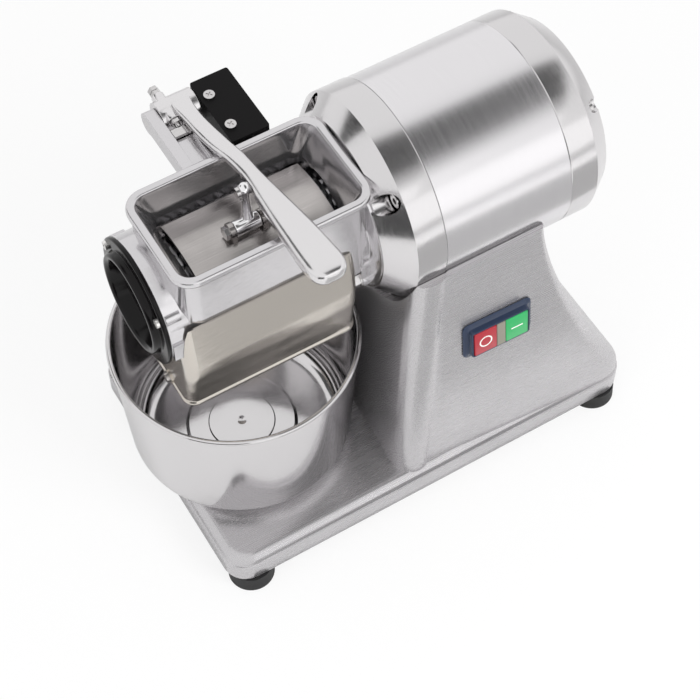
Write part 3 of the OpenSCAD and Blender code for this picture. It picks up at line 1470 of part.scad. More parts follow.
in_place() base();
in_place() bottom_plate();
in_place() bottom_screws();
in_place() rubber_feet();
in_place() foot_screws();
in_place() front_shield();
in_place() front_shield_screws();
in_place() motor_sleeve();
in_place() stator_core();
in_place() stator_windings();
in_place() rear_cover();
in_place() rear_cover_screws();
in_place() front_bearing();
in_place() rear_bearing();
in_place() shaft_seal();
in_place() motor_shaft();
in_place() rotor();
in_place() cooling_fan();
in_place() motor_mount_bolts();
in_place() capacitor();
in_place() capacitor_clip();
in_place() terminal_block();
in_place() cable_gland();
in_place() head_casting();
in_place() head_studs();
in_place() head_nuts();
in_place() end_cap();
in_place() end_cap_screws();
in_place() discharge_chute();
in_place() chute_screws();
in_place() grating_drum();
in_place() drum_key();
in_place() drum_nut();
in_place() lever();
in_place() hinge_pin();
in_place() stop_screw();
in_place() stop_locknut();
in_place() stop_block();
in_place() pusher_link();
in_place() link_screw();
in_place() pusher();
in_place() pusher_bolt();
in_place() pusher_nut();
in_place() interlock_housing();
in_place() interlock_screws();
in_place() interlock_switch();
in_place() interlock_pin();
in_place() button_housing();
in_place() button_block();
in_place() stop_button();
in_place() start_button();
in_place() lamp_window();
in_place() bowl();
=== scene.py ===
import math

import bmesh
import bpy
from mathutils import Matrix, Vector


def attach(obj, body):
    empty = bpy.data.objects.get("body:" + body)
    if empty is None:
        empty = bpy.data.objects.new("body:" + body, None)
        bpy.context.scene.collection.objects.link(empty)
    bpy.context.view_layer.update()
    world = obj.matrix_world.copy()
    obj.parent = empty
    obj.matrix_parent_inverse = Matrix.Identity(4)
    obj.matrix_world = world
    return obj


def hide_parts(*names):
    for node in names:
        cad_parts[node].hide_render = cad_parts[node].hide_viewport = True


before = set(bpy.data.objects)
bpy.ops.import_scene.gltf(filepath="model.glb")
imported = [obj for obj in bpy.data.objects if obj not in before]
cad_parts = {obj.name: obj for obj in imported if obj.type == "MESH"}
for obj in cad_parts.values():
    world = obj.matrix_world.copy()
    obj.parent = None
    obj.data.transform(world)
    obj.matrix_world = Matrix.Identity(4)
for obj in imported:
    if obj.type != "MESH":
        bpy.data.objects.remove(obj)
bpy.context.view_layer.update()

# Camera
# It looks down on the machine from its front left corner, with a long lens, as the photograph does.
camera_data = bpy.data.cameras.new("camera")
camera = bpy.data.objects.new("camera", camera_data)
bpy.context.scene.collection.objects.link(camera)
camera_turn, camera_rise, camera_roll = math.radians(-30.58), math.radians(56.65), math.radians(-0.37)
camera_data.lens = 99.13
camera_data.sensor_width = 36.0
camera_data.clip_end = 20.0
camera.location = (-0.4833, -0.8196, 1.5232)
camera.rotation_euler = (
    Matrix.Rotation(camera_turn, 3, "Z")
    @ Matrix.Rotation(math.pi / 2 - camera_rise, 3, "X")
    @ Matrix.Rotation(camera_roll, 3, "Z")
).to_euler()
bpy.context.scene.camera = camera


# Studio
# White paper under the machine in a white room, with two soft lamps. A silk screen overhead, a reflector
# and a card in front and two black flags on the left stay out of the picture: only the polished metal
# sees them, and they give it its bright and dark bands.
def linear(hex_colour):
    """The linear colour of an sRGB hex value such as b4b2b4"""
    parts = [int(hex_colour[i:i + 2], 16) / 255 for i in (0, 2, 4)]
    return tuple(p / 12.92 if p <= 0.04045 else ((p + 0.055) / 1.055) ** 2.4 for p in parts) + (1.0,)


def add(tree, kind, settings=None, inputs=None):
    """A new node with its settings, and inputs that are values or other nodes' outputs"""
    node = tree.nodes.new(kind)
    for name, value in (settings or {}).items():
        setattr(node, name, value)
    for name, value in (inputs or {}).items():
        if isinstance(value, bpy.types.NodeSocket):
            tree.links.new(value, node.inputs[name])
        else:
            node.inputs[name].default_value = value
    return node


def stage_sheet(name, size, place, aim, material):
    """A flat sheet of the studio that faces from its place to the point aimed at"""
    mesh = bpy.data.meshes.new(name)
    w, h = size[0] / 2, size[1] / 2
    mesh.from_pydata([(-w, -h, 0), (w, -h, 0), (w, h, 0), (-w, h, 0)], [], [(0, 1, 2, 3)])
    mesh.materials.append(material)
    sheet = bpy.data.objects.new(name, mesh)
    bpy.context.scene.collection.objects.link(sheet)
    sheet.location = place
    sheet.rotation_euler = (Vector(aim) - Vector(place)).to_track_quat("Z", "Y").to_euler()
    return sheet


def bare_tree(owner):
    """The emptied node tree of a material or of the world"""
    owner.use_nodes = True
    owner.node_tree.nodes.clear()
    return owner.node_tree


def even_glow(name, strength):
    """A material that glows evenly, at a strength where 1 is white"""
    glow = bpy.data.materials.new(name)
    tree = bare_tree(glow)
    light = add(tree, "ShaderNodeEmission", None, {"Color": linear("ffffff"), "Strength": strength})
    add(tree, "ShaderNodeOutputMaterial", None, {"Surface": light.outputs[0]})
    return glow


# Seamless paper is matt and pale under the object's shadow. To the lens and in the metal it is white.
paper = bpy.data.materials.new("seamless_paper")
tree = bare_tree(paper)
ray = add(tree, "ShaderNodeLightPath")
seen = add(tree, "ShaderNodeMath", {"operation": "MAXIMUM"},
           {0: ray.outputs["Is Camera Ray"], 1: ray.outputs["Is Transmission Ray"]})
matt = add(tree, "ShaderNodeBsdfDiffuse", None, {"Color": linear("fafafa")})
glow = add(tree, "ShaderNodeEmission", None, {"Color": linear("ffffff"), "Strength": 1.0})
both = add(tree, "ShaderNodeMixShader", None, {0: 0.82, 1: matt.outputs[0], 2: glow.outputs[0]})
pick = add(tree, "ShaderNodeMixShader", None, {0: seen.outputs[0], 1: matt.outputs[0], 2: both.outputs[0]})
add(tree, "ShaderNodeOutputMaterial", None, {"Surface": pick.outputs[0]})
stage_sheet("floor", (14, 14), (0, 0, -0.0005), (0, 0, 1), paper)

# The silk screen is dark over the drum axis and bright towards the front, so the round motor shows a
# dark band that fades softly on one side.
silk = bpy.data.materials.new("silk_screen")
tree = bare_tree(silk)
silk_wide, silk_long = 1.1, 3.8
where = add(tree, "ShaderNodeTexCoord")
across = add(tree, "ShaderNodeSeparateXYZ", None, {"Vector": where.outputs["Object"]})
fade = add(tree, "ShaderNodeValToRGB")
level = add(tree, "ShaderNodeMapRange", None,
            {"Value": across.outputs["Y"], "From Min": -silk_long / 2, "From Max": silk_long / 2})
tree.links.new(level.outputs[0], fade.inputs[0])
# From the front edge at 0 to the back edge at 1, as strengths of white
front_strength, back_strength = 1.32, 1
stops = fade.color_ramp.elements
for place, strength in (
        (0.24, 1.3), (0.43, 0.62), (0.56, 0.17), (0.7, 0.13), (0.79, 0.15), (0.84, 0.3), (0.9, 0.95)):
    stops.new(place).color = (strength, strength, strength, 1)
stops[0].color = (front_strength, front_strength, front_strength, 1)
stops[len(stops) - 1].color = (back_strength, back_strength, back_strength, 1)
light = add(tree, "ShaderNodeEmission", None, {"Color": fade.outputs[0], "Strength": 1.0})
add(tree, "ShaderNodeOutputMaterial", None, {"Surface": light.outputs[0]})

# The flags give the slanted facets of the castings their dark sides. The reflector in front is brighter
# than the room. The card lies on the paper, so the upright faces shade from light to grey.
velvet = even_glow("black_velvet", 0.09)
reflector = even_glow("white_reflector", 1.32)
card = even_glow("grey_card", 0.6)
for name, size, place, aim, material in (
    ("flag_left_low", (0.75, 0.55), (-0.75, -0.75, 0.29), (0.0, -0.1, 0.29), velvet),
    ("flag_left_back", (0.42, 0.4), (-0.62, 0.62, 0.92), (0.0, 0.0, 0.35), velvet),
    ("silk_overhead", (silk_wide, silk_long), (0.62, -1.17, 2.1), (0.62, -1.17, 0.0), silk),
    ("reflector_front", (6.0, 1.7), (0.4, -3.2, 1.2), (0.4, 0.0, 1.2), reflector),
    ("card_floor", (0.95, 0.75), (0.36, -0.6, 0.002), (0.36, -0.6, 1.0), card),
):
    sheet = stage_sheet(name, size, place, aim, material)
    sheet.visible_camera = False
    sheet.visible_diffuse = False
    sheet.visible_shadow = False
    sheet.visible_transmission = False

# The room is white to the lens and in the metal, and a little less bright on matt surfaces
world = bpy.data.worlds.new("white_room")
bpy.context.scene.world = world
tree = bare_tree(world)
ray = add(tree, "ShaderNodeLightPath")
seen = add(tree, "ShaderNodeMath", {"operation": "MAXIMUM"},
           {0: ray.outputs["Is Camera Ray"], 1: ray.outputs["Is Glossy Ray"]})
seen = add(tree, "ShaderNodeMath", {"operation": "MAXIMUM"},
           {0: seen.outputs[0], 1: ray.outputs["Is Transmission Ray"]})
white = add(tree, "ShaderNodeBackground", None, {"Color": linear("ffffff"), "Strength": 1.0})
room = add(tree, "ShaderNodeBackground", None, {"Color": linear("ffffff"), "Strength": 0.72})
mix = add(tree, "ShaderNodeMixShader", None, {0: seen.outputs[0], 1: room.outputs[0], 2: white.outputs[0]})
add(tree, "ShaderNodeOutputWorld", None, {"Surface": mix.outputs[0]})


def lamp(name, size, power, place, aim):
    """A soft square lamp that the metal doesn't mirror"""
    data = bpy.data.lights.new(name, "AREA")
    data.shape = "SQUARE"
    data.size = size
    data.energy = power
    body = bpy.data.objects.new(name, data)
    bpy.context.scene.collection.objects.link(body)
    body.location = place
    body.rotation_euler = (Vector(place) - Vector(aim)).to_track_quat("Z", "Y").to_euler()
    body.visible_glossy = False


lamp("key_lamp", 1.1, 26.0, (0.75, -1.75, 1.75), (0.0, 0.0, 0.2))
lamp("fill_lamp", 1.4, 12.0, (-1.9, -0.9, 1.9), (-0.1, 0.0, 0.2))

bpy.context.scene.view_settings.view_transform = "Standard"


# Base and stand
# One hollow casting in aluminium, ground and brushed along the machine, with a raised deck and a
# saddle for the motor. The four feet and the bottom plate are screwed on from below.
mm = 0.001
# The sizes below are in millimetres and count from the middle of the four feet, which is this far from
# the origin of the frame. The drum and the motor turn about the drum axis, which runs along X.
middle = Vector((0.0145, -0.0095, 0.0))
axis_y, axis_z = 9.5, 296.0
# Steps round the motor, and round what is turned or cut to fit it
round_steps = 160


def rounded_ring(x0, x1, y0, y1, r, z, n=10):
    """Points of a rounded rectangle at height z, with n steps to each corner"""
    ring = []
    for cx, cy, start in (
            (x1 - r, y0 + r, -90), (x1 - r, y1 - r, 0), (x0 + r, y1 - r, 90), (x0 + r, y0 + r, 180)):
        for i in range(n + 1):
            a = math.radians(start + 90 * i / n)
            ring.append((cx + r * math.cos(a), cy + r * math.sin(a), z))
    return ring


def skin(name, rings, closed=False):
    """A skin through rings of equal length, in millimetres; closed joins the last ring to the first"""
    n = len(rings[0])
    points = [tuple(Vector(p) * mm + middle) for ring in rings for p in ring]
    faces = []
    for k in range(len(rings) - (0 if closed else 1)):
        a, b = k * n, ((k + 1) % len(rings)) * n
        faces += [(a + i, a + (i + 1) % n, b + (i + 1) % n, b + i) for i in range(n)]
    if not closed:
        faces += [tuple(range(n))[::-1], tuple((len(rings) - 1) * n + i for i in range(n))]
    mesh = bpy.data.meshes.new(name)
    mesh.from_pydata(points, [], faces)
    work = bmesh.new()
    work.from_mesh(mesh)
    bmesh.ops.remove_doubles(work, verts=work.verts, dist=1e-6)
    bmesh.ops.recalc_face_normals(work, faces=work.faces)
    work.to_mesh(mesh)
    work.free()
    piece = bpy.data.objects.new(name, mesh)
    bpy.context.scene.collection.objects.link(piece)
    return piece


def rod(name, r, low, high, steps=48):
    """A round bar between two points"""
    low, high = Vector(low), Vector(high)
    turn = (high - low).to_track_quat("Z", "Y").to_matrix()
    rings = [[tuple(p + turn @ Vector((r * math.cos(t), r * math.sin(t), 0)))
              for t in (2 * math.pi * i / steps for i in range(steps))] for p in (low, high)]
    return skin(name, rings)


def brick(name, low, high):
    """A square block between two corners"""
    return skin(name, [
        [(low[0], low[1], z), (high[0], low[1], z), (high[0], high[1], z), (low[0], high[1], z)]
        for z in (low[2], high[2])])


def carve(piece, *tools, how="DIFFERENCE"):
    """Cuts the tools out of the piece, or joins them to it"""
    for tool in tools:
        step = piece.modifiers.new("carve", "BOOLEAN")
        step.operation, step.object, step.solver = how, tool, "EXACT"
        bpy.context.view_layer.update()
        shaped = bpy.data.meshes.new_from_object(piece.evaluated_get(bpy.context.evaluated_depsgraph_get()))
        piece.modifiers.clear()
        piece.data = shaped
        bpy.data.objects.remove(tool)
    return piece


def dress(piece, material, body, slot, *nodes, angle=35):
    """Gives a piece its finish, hangs it on the body that carries it, and hides the nodes it stands for"""
    piece.data.materials.clear()
    piece.data.materials.append(material)
    for face in piece.data.polygons:
        face.use_smooth = True
    piece.data.set_sharp_from_angle(angle=math.radians(angle))
    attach(piece, body)
    if nodes:
        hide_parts(*nodes)
    return piece


def finish_node(node, material):
    """Gives a node of the part its finish"""
    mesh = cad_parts[node].data
    mesh.materials.clear()
    mesh.materials.append(material)


def new_finish(name, colour=None):
    """A new material with its node tree and its shader, in one colour all over if that is given"""
    finish = bpy.data.materials.new(name)
    finish.use_nodes = True
    shader = finish.node_tree.nodes["Principled BSDF"]
    if colour:
        shader.inputs["Base Color"].default_value = linear(colour)
    return finish, finish.node_tree, shader


def noise(tree, place, scale, detail, roughness=0.5):
    """Soft noise, as many blotches to the metre as the scale says"""
    return add(tree, "ShaderNodeTexNoise", None,
               {"Vector": place, "Scale": scale, "Detail": detail, "Roughness": roughness})


def spread(tree, grain, low, high):
    """The usual range of a noise, spread between two values"""
    return add(tree, "ShaderNodeMapRange", None, {
        "Value": grain.outputs["Fac"], "From Min": 0.3, "From Max": 0.7, "To Min": low, "To Max": high})


# Brushed metal shows fine hair lines that run one way, and each line catches the light a little
# differently. The real lines are some 0.1 mm apart. They are drawn 0.5 mm apart or more, which is as
# fine as the render can show.
def hair_lined(name, colour, rough, across, along, depth, edge=0.0, clouds=0.0, run="along X",
               metal_share=1.0):
    """A brushed metal; across and along are the pitch and the length of its lines in mm, depth and
    clouds are how far lines and blotches stray in tone, and edge is the wear radius of its edges in mm"""
    metal, tree, shader = new_finish(name)
    shader.inputs["Metallic"].default_value = metal_share
    where = add(tree, "ShaderNodeTexCoord")
    if run == "round X":
        per_metre = (1000 / across, 1000 / along, 1000 / along)
    else:
        per_metre = (1000 / along, 1000 / across, 1000 / across)
    lines = add(tree, "ShaderNodeVectorMath", {"operation": "MULTIPLY"},
                {0: where.outputs["Object"], 1: per_metre})
    hair = noise(tree, lines.outputs[0], 1.0, 3.0, 0.6)
    cloud = noise(tree, where.outputs["Object"], 22.0, 2.0)
    tone = spread(tree, hair, 1 - depth, 1 + depth)
    shade = spread(tree, cloud, 1 - clouds, 1 + clouds)
    level = add(tree, "ShaderNodeMath", {"operation": "MULTIPLY"}, {0: tone.outputs[0], 1: shade.outputs[0]})
    paint = add(tree, "ShaderNodeMix", {"data_type": "RGBA", "blend_type": "MULTIPLY"},
                {0: 1.0, 6: linear(colour)})
    grey = add(tree, "ShaderNodeCombineColor", None,
               {0: level.outputs[0], 1: level.outputs[0], 2: level.outputs[0]})
    tree.links.new(grey.outputs[0], paint.inputs[7])
    tree.links.new(paint.outputs[2], shader.inputs["Base Color"])
    gloss = spread(tree, hair, rough * 0.85, rough * 1.15)
    tree.links.new(gloss.outputs[0], shader.inputs["Roughness"])
    # Depth of the lines in metres, if they strayed by the whole tone
    full_groove = 0.0006
    bump = add(tree, "ShaderNodeBump", None,
               {"Height": hair.outputs["Fac"], "Strength": 0.35, "Distance": depth * full_groove})
    if edge:
        corner = add(tree, "ShaderNodeBevel", {"samples": 4}, {"Radius": edge * mm})
        tree.links.new(corner.outputs[0], bump.inputs["Normal"])
    tree.links.new(bump.outputs[0], shader.inputs["Normal"])
    return metal


# Brushed and then washed for years, the casting is a soft grey with a dull shine and faint blotches
brushed_casting = hair_lined("brushed_cast_aluminium", "c2c0c2", 0.27, 0.8, 110.0, 0.03, edge=0.8,
                             clouds=0.03, metal_share=0.78)

# Half the length of the tray, its front and back, its corner radius, the heights of the deck and of the
# top of the stand, and how far the tray's edge stands out past the stand
base_x1, base_y0, base_y1, base_r = 204.5, -118.5, 137.5, 22.0
deck_z, stand_z1, inset = 46.0, 276.0, 1.6
# The stand's left and right end and half its width at the top, and how far its foot reaches out to the left
top_x0, top_x1, top_half, foot_out = -8, 117, 93, 25
# Radii of the saddle that carries the motor, and of the wider seat for its front shield
saddle_r, shield_seat_r = 90.3, 91.1


def tray_ring(z, d):
    """Outline of the tray at height z, drawn in by d"""
    return rounded_ring(-base_x1 + d, base_x1 - d, base_y0 + d, base_y1 - d, base_r - d * 0.6, z, 12)


def stand_ring(z):
    """Outline of the stand at height z: broad at the foot, and narrow where it carries the motor"""
    t = min(1, max(0, (stand_z1 - z) / (stand_z1 - deck_z - 5)))
    s = min(1, max(0, (stand_z1 - z) / (stand_z1 - deck_z)))
    left_x, right_x = top_x0 - foot_out * s, top_x1 + (base_x1 - inset - top_x1) * t ** 1.53
    front, back = axis_y - top_half, axis_y + top_half
    left_y = front + (base_y0 + 9 - front) * s
    right_y = front + (base_y0 + inset - front) * s
    back_y = back + (base_y1 - inset - back) * s
    r, fold_r, n = 7 + (base_r - inset - 7) * t, 18.0, 12
    ring = [(right_x - r + r * math.cos(a), right_y + r + r * math.sin(a), z)
            for a in (math.radians(-90 + 90 * i / n) for i in range(n + 1))]
    ring += [(right_x - r + r * math.cos(a), back_y - r + r * math.sin(a), z)
             for a in (math.radians(90 * i / n) for i in range(n + 1))]
    ring += [(left_x + r + r * math.cos(a), back_y - r + r * math.sin(a), z)
             for a in (math.radians(90 + 90 * i / n) for i in range(n + 1))]
    # The left wall is hollowed by 5 mm towards the bowl, and ends in the fold at the front corner
    hollow, steps = 5, 14
    for i in range(1, steps):
        u = i / steps
        ring.append((left_x + hollow * 4 * u * (1 - u), back_y - r + (left_y + fold_r - back_y + r) * u, z))
    ring += [(left_x + fold_r + fold_r * math.cos(a), left_y - 3 + fold_r + fold_r * math.sin(a), z)
             for a in (math.radians(180 + 118 * i / (n + 4)) for i in range(n + 5))]
    ring.append((left_x + fold_r * 1.6, left_y - 0.35, z))
    ring.append((left_x + fold_r * 1.95, left_y, z))
    return ring


tray = skin("base", [tray_ring(z, d) for z, d in (
    (18.0, 1.4), (18.5, 0.5), (19.4, 0.0), (39.0, 0.0), (39.9, 0.15), (40.6, 0.6), (41.0, 1.4), (41.2, 2.4),
    (42.4, 4.0), (44.4, 6.7), (45.3, 8.0), (45.8, 9.4), (46.0, 11.0))])
stand_z0, steps = 32, 56
stand = skin("stand", [stand_ring(stand_z0 + (stand_z1 - stand_z0) * i / steps) for i in range(steps + 1)])
# Middle, width and height of the push button on the front wall, which leans back and turns a little
button_x, button_z, button_w, button_h = 67.0, 185.0, 57, 31


def wall_y(x, z):
    """Y of the front wall at x and height z"""
    ring = stand_ring(z)
    left, right = ring[-1], ring[0]
    return left[1] + (right[1] - left[1]) * (x - left[0]) / (right[0] - left[0])


wall_turn = math.atan(
    (wall_y(button_x + button_w / 2, button_z) - wall_y(button_x - button_w / 2, button_z)) / button_w)
wall_lean = math.atan(
    (wall_y(button_x, button_z + button_h / 2) - wall_y(button_x, button_z - button_h / 2)) / button_h)
# Takes a piece drawn round the origin to its place on the wall
wall = (Matrix.Translation(middle + Vector((button_x, wall_y(button_x, button_z), button_z)) * mm)
        @ Matrix.Rotation(wall_turn, 4, "Z") @ Matrix.Rotation(-wall_lean, 4, "X")
        @ Matrix.Translation(-middle))
button_hole = brick("button_hole", (-26.8, -20, -12.3), (26.8, 42, 12.3))
button_hole.matrix_world = wall
base = carve(tray, stand, how="UNION")
carve(base,
      rod("saddle", saddle_r, (-60, axis_y, axis_z), (240, axis_y, axis_z), round_steps),
      rod("ring_seat", shield_seat_r, (-60, axis_y, axis_z), (24, axis_y, axis_z), round_steps),
      button_hole)
dress(base, brushed_casting, "machine", "cast_base", "base", angle=30)

# Bottom plate and its screws
# A stainless sheet closes the hollow casting from below, held by small pan screws. The rubber feet
# have longer screws of the same kind.
# Rolled sheet keeps the fine lines of the mill, and looks greyer and duller than the castings.
plate_steel = hair_lined("rolled_stainless_sheet", "b9b7b8", 0.3, 0.9, 60.0, 0.05)
finish_node("bottom_plate", plate_steel)

# Headed and turned screws in stainless steel have a bright machined shine, with worn edges that
# catch the light
screw_steel = hair_lined("bright_screw_steel", "cfcdcd", 0.16, 0.7, 4.0, 0.06, edge=0.3)
for node in ("bottom_screws", "foot_screws"):
    finish_node(node, screw_steel)

# Rubber feet
# Four moulded feet in soft black rubber, each on a screw from inside the casting. The shaft seal of
# the motor is moulded in the same rubber.
# Moulded rubber is a soft black without a clear reflection. Its pores are drawn about 1 mm apart, which
# is as fine as the render can show.
foot_rubber, tree, shader = new_finish("moulded_rubber", "1b1b1c")
shader.inputs["Roughness"].default_value = 0.62
where = add(tree, "ShaderNodeTexCoord")
pores = noise(tree, where.outputs["Object"], 900.0, 2.0)
bump = add(tree, "ShaderNodeBump", None,
           {"Height": pores.outputs["Fac"], "Strength": 0.25, "Distance": 0.0002})
tree.links.new(bump.outputs[0], shader.inputs["Normal"])
for node in ("rubber_feet", "shaft_seal"):
    finish_node(node, foot_rubber)


# Motor shields
# The front shield and the rear cover are cast aluminium, turned on a lathe and polished, with a seam
# where each meets the sleeve. Four screws each clamp them from pockets round the edge.
def rounded_corners(points, r):
    """The same outline with each corner rounded, in a plane"""
    out = []
    n, steps = len(points), 3
    for i, p in enumerate(points):
        a, b, c = Vector(points[i - 1]), Vector(p), Vector(points[(i + 1) % n])
        u, v = a - b, c - b
        cut = min(r, u.length * 0.45, v.length * 0.45)
        if cut < 0.05 or abs(u.normalized().dot(v.normalized())) > 0.995:
            out.append(tuple(b))
            continue
        p0, p1 = b + u.normalized() * cut, b + v.normalized() * cut
        for k in range(steps + 1):
            t = k / steps
            out.append(tuple((1 - t) ** 2 * p0 + 2 * t * (1 - t) * b + t ** 2 * p1))
    return out


def spun_x(name, outline, r=0.0):
    """A turned piece about the drum axis, from points of radius and X, with its corners rounded by r"""
    outline = rounded_corners(outline, r) if r else outline
    rings = []
    for k in range(round_steps):
        a = 2 * math.pi * k / round_steps
        rings.append([(x, axis_y + q * math.sin(a), axis_z + q * math.cos(a)) for q, x in outline])
    return skin(name, rings, closed=True)


def carve_ring(piece, angles, ring, *bars, how="DIFFERENCE"):
    """Cuts round bars along X out of the piece, or joins them, on a ring about the drum axis; angles run
    from the top to the front, and a bar is given as its radius, its two ends in X and its steps"""
    for a in (math.radians(angle) for angle in angles):
        y, z = axis_y - ring * math.sin(a), axis_z + ring * math.cos(a)
        carve(piece, *(rod("bar", r, (x0, y, z), (x1, y, z), steps) for r, x0, x1, steps in bars), how=how)


# The radius where the outline of a piece without a hole starts and ends, which closes it to a disc
on_axis = 0.01

# Polished metal mirrors its surroundings softly, with slow ripples from the casting or the rolling,
# some 20 mm long, and faint lines from the buffing wheel. The lines are drawn 0.4 to 0.7 mm apart,
# which is as fine as the render can show.
def buffed(name, colour, rough, wave, edge=0.0, line=0.0, run="along X", metal_share=1.0):
    """A polished metal; wave and line are the heights of its ripple and its lines in mm, and edge is the
    wear radius of its edges in mm"""
    metal, tree, shader = new_finish(name, colour)
    shader.inputs["Metallic"].default_value = metal_share
    where = add(tree, "ShaderNodeTexCoord")
    ripple = noise(tree, where.outputs["Object"], 45.0, 1.0)
    per_metre = (2500.0, 120.0, 120.0) if run == "round X" else (120.0, 1500.0, 1500.0)
    turned = add(tree, "ShaderNodeVectorMath", {"operation": "MULTIPLY"},
                 {0: where.outputs["Object"], 1: per_metre})
    buff = noise(tree, turned.outputs[0], 1.0, 2.0)
    gloss = spread(tree, buff, rough * 0.75, rough * 1.3)
    tree.links.new(gloss.outputs[0], shader.inputs["Roughness"])
    soft = add(tree, "ShaderNodeBump", None,
               {"Height": ripple.outputs["Fac"], "Strength": 1.0, "Distance": wave * mm})
    fine = add(tree, "ShaderNodeBump", None, {
        "Height": buff.outputs["Fac"], "Strength": 0.3, "Distance": line * mm, "Normal": soft.outputs[0]})
    if edge:
        corner = add(tree, "ShaderNodeBevel", {"samples": 4}, {"Radius": edge * mm})
        tree.links.new(corner.outputs[0], soft.inputs["Normal"])
    tree.links.new(fine.outputs[0], shader.inputs["Normal"])
    return metal


# Turned and polished, the shields mirror the room in clear bands with fine rings from the lathe
turned_alloy = buffed("turned_cast_aluminium", "d6d4d5", 0.16, 0.06, line=0.012, run="round X")
# X of the seams at the two ends of the sleeve, and how deep they are
seam, rear_seam, seam_depth = 23.0, 141.0, 0.9
# Angles from the top to the front of the screws that hold the shields and of the studs of the head
screw_angles, shield_screw_ring, rear_screw_ring = (45, 135, 225, 315), 81, 80
stud_angles, stud_ring, stud_hole_r = (135, 225, 304), 61, 4.05
shield = spun_x("front_shield", [
    (18.05, -19), (70, -19), (70, -25), (72, -25), (90.8, -4), (90.8, seam - seam_depth), (90.1, seam),
    (87.95, seam), (87.95, 33), (84, 33), (84.8, 13), (84.8, 2), (63.7, -10.5), (29.5, -10.5), (29.5, 5),
    (23.55, 5), (23.55, -9), (18.05, -9)], 0.25)
# The hopper's right end and its lip reach into the shield from above
carve(shield,
      brick("hopper_relief", (-60, -45.05, 296), (-22.3, 50.65, 390)),
      brick("lip_relief", (-60, -48.35, 360.4), (-19, 53.95, 390)))
carve_ring(shield, screw_angles, shield_screw_ring, (8.5, -40, 0, 32), (3.3, -20, 40, 24))
carve_ring(shield, stud_angles, stud_ring, (stud_hole_r, -30, -2, 24))
dress(shield, turned_alloy, "machine", "polished_aluminium", "front_shield", angle=14)

rear = spun_x("rear_cover", [
    (on_axis, 183), (77.5, 183), (90, 166), (90, rear_seam + seam_depth), (89.3, rear_seam),
    (87.95, rear_seam), (87.95, 131), (84, 131), (80, 151), (80, 166), (67.5, 178), (25, 178), (25, 161),
    (20.05, 161), (20.05, 173), (18.5, 173), (18.5, 178), (on_axis, 178)], 0.25)
carve_ring(rear, screw_angles, rear_screw_ring, (5.8, 173, 190, 32), (2.8, 120, 180, 24))
dress(rear, turned_alloy, "machine", "polished_aluminium", "rear_cover", angle=14)
for node in ("front_shield_screws", "rear_cover_screws", "motor_mount_bolts"):
    finish_node(node, screw_steel)

# Motor sleeve
# A tube rolled from stainless sheet and slid over the stator, clamped between the two shields.
# Brushed round and round, the sheet is bright and draws each reflection out along the tube into a band.
sleeve_steel = hair_lined("brushed_stainless_sleeve", "e1dfe1", 0.22, 0.5, 60.0, 0.016, run="round X")
finish_node("motor_sleeve", sleeve_steel)

# Inside of the motor
# A stack of sheets of electrical steel with coils of varnished copper wire, a rotor on a ground shaft
# between two ball bearings, and a moulded fan behind it. The shaft carries the drum on a key.
# The edges of the stacked sheets show as fine dark rings
core_steel = hair_lined("electrical_steel", "6c6b70", 0.45, 0.6, 40.0, 0.12, run="round X")
for node in ("stator_core", "rotor"):
    finish_node(node, core_steel)
# Varnished copper wire is a warm brown with a shine along each wire
coil_copper = hair_lined("varnished_copper", "a8562a", 0.3, 0.9, 20.0, 0.2)
finish_node("stator_windings", coil_copper)
# Ground steel is bright, with fine rings
shaft_steel = buffed("ground_steel", "c4c3c4", 0.15, 0.05, line=0.02, run="round X")
for node in ("front_bearing", "rear_bearing", "motor_shaft", "drum_key"):
    finish_node(node, shaft_steel)


# Moulded plastic has a soft shine that a faint orange peel breaks up. The peel is drawn about 1.4 mm
# wide, which is as fine as the render can show.
def moulded(name, colour, rough, peel, shine=0.5):
    """A moulded plastic; peel is the height of its fine grain in mm"""
    plastic, tree, shader = new_finish(name, colour)
    shader.inputs["Roughness"].default_value = rough
    shader.inputs["IOR"].default_value = 1.5
    shader.inputs["Specular IOR Level"].default_value = shine
    where = add(tree, "ShaderNodeTexCoord")
    grain = noise(tree, where.outputs["Object"], 700.0, 2.0)
    bump = add(tree, "ShaderNodeBump", None,
               {"Height": grain.outputs["Fac"], "Strength": 0.5, "Distance": peel * mm})
    tree.links.new(bump.outputs[0], shader.inputs["Normal"])
    return plastic


# Glass filled nylon is a dull black
fan_nylon = moulded("black_nylon", "232326", 0.4, 0.03)
finish_node("cooling_fan", fan_nylon)

# Inside of the stand
# The motor's capacitor stands in a sheet clip, and a terminal block takes the leads. A nylon gland in
# the rear wall lets the lead in.
# Plain moulded nylon is a warm white with a waxy shine
off_white = moulded("off_white_nylon", "dedbd0", 0.45, 0.03)
for node in ("capacitor", "terminal_block"):
    finish_node(node, off_white)
finish_node("capacitor_clip", plate_steel)
finish_node("cable_gland", fan_nylon)

# Head casting
# One aluminium casting: the hopper with its rolled rim, the drum chamber below it, the flange that
# bolts to the motor, the two hinge cheeks and the shelf of the interlock. It is polished all over.
# Polished by hand on a soft wheel, the metal mirrors with blurred edges, and its corners are worn round
head_alloy = buffed("satin_cast_aluminium", "d2d0d2", 0.16, 0.12, edge=0.5, line=0.003, metal_share=0.93)
# The hopper's mouth, the heights of its rim and of the end walls' slope above the drum axis, and how far
# the side walls and the end walls come in below
mouth_x0, mouth_x1 = -185.4, -26.4
mouth_y0, mouth_y1 = -50.45 + axis_y, 37.05 + axis_y
mouth_r, rim_h, slope_h, sides_in, ends_in = 12, 72, 28, 6, 13.5
# Angles and radius of the ring of the end cap's screws, and the radius of their holes
cap_angles, cap_ring, cap_hole_r = (60, 180, 300), 49.5, 2.05


def wall_ring(z, d):
    """Outline of the mouth at height z above the axis, widened by d"""
    return rounded_ring(mouth_x0 - d, mouth_x1 + d, mouth_y0 - d, mouth_y1 + d, mouth_r + d, axis_z + z, 10)


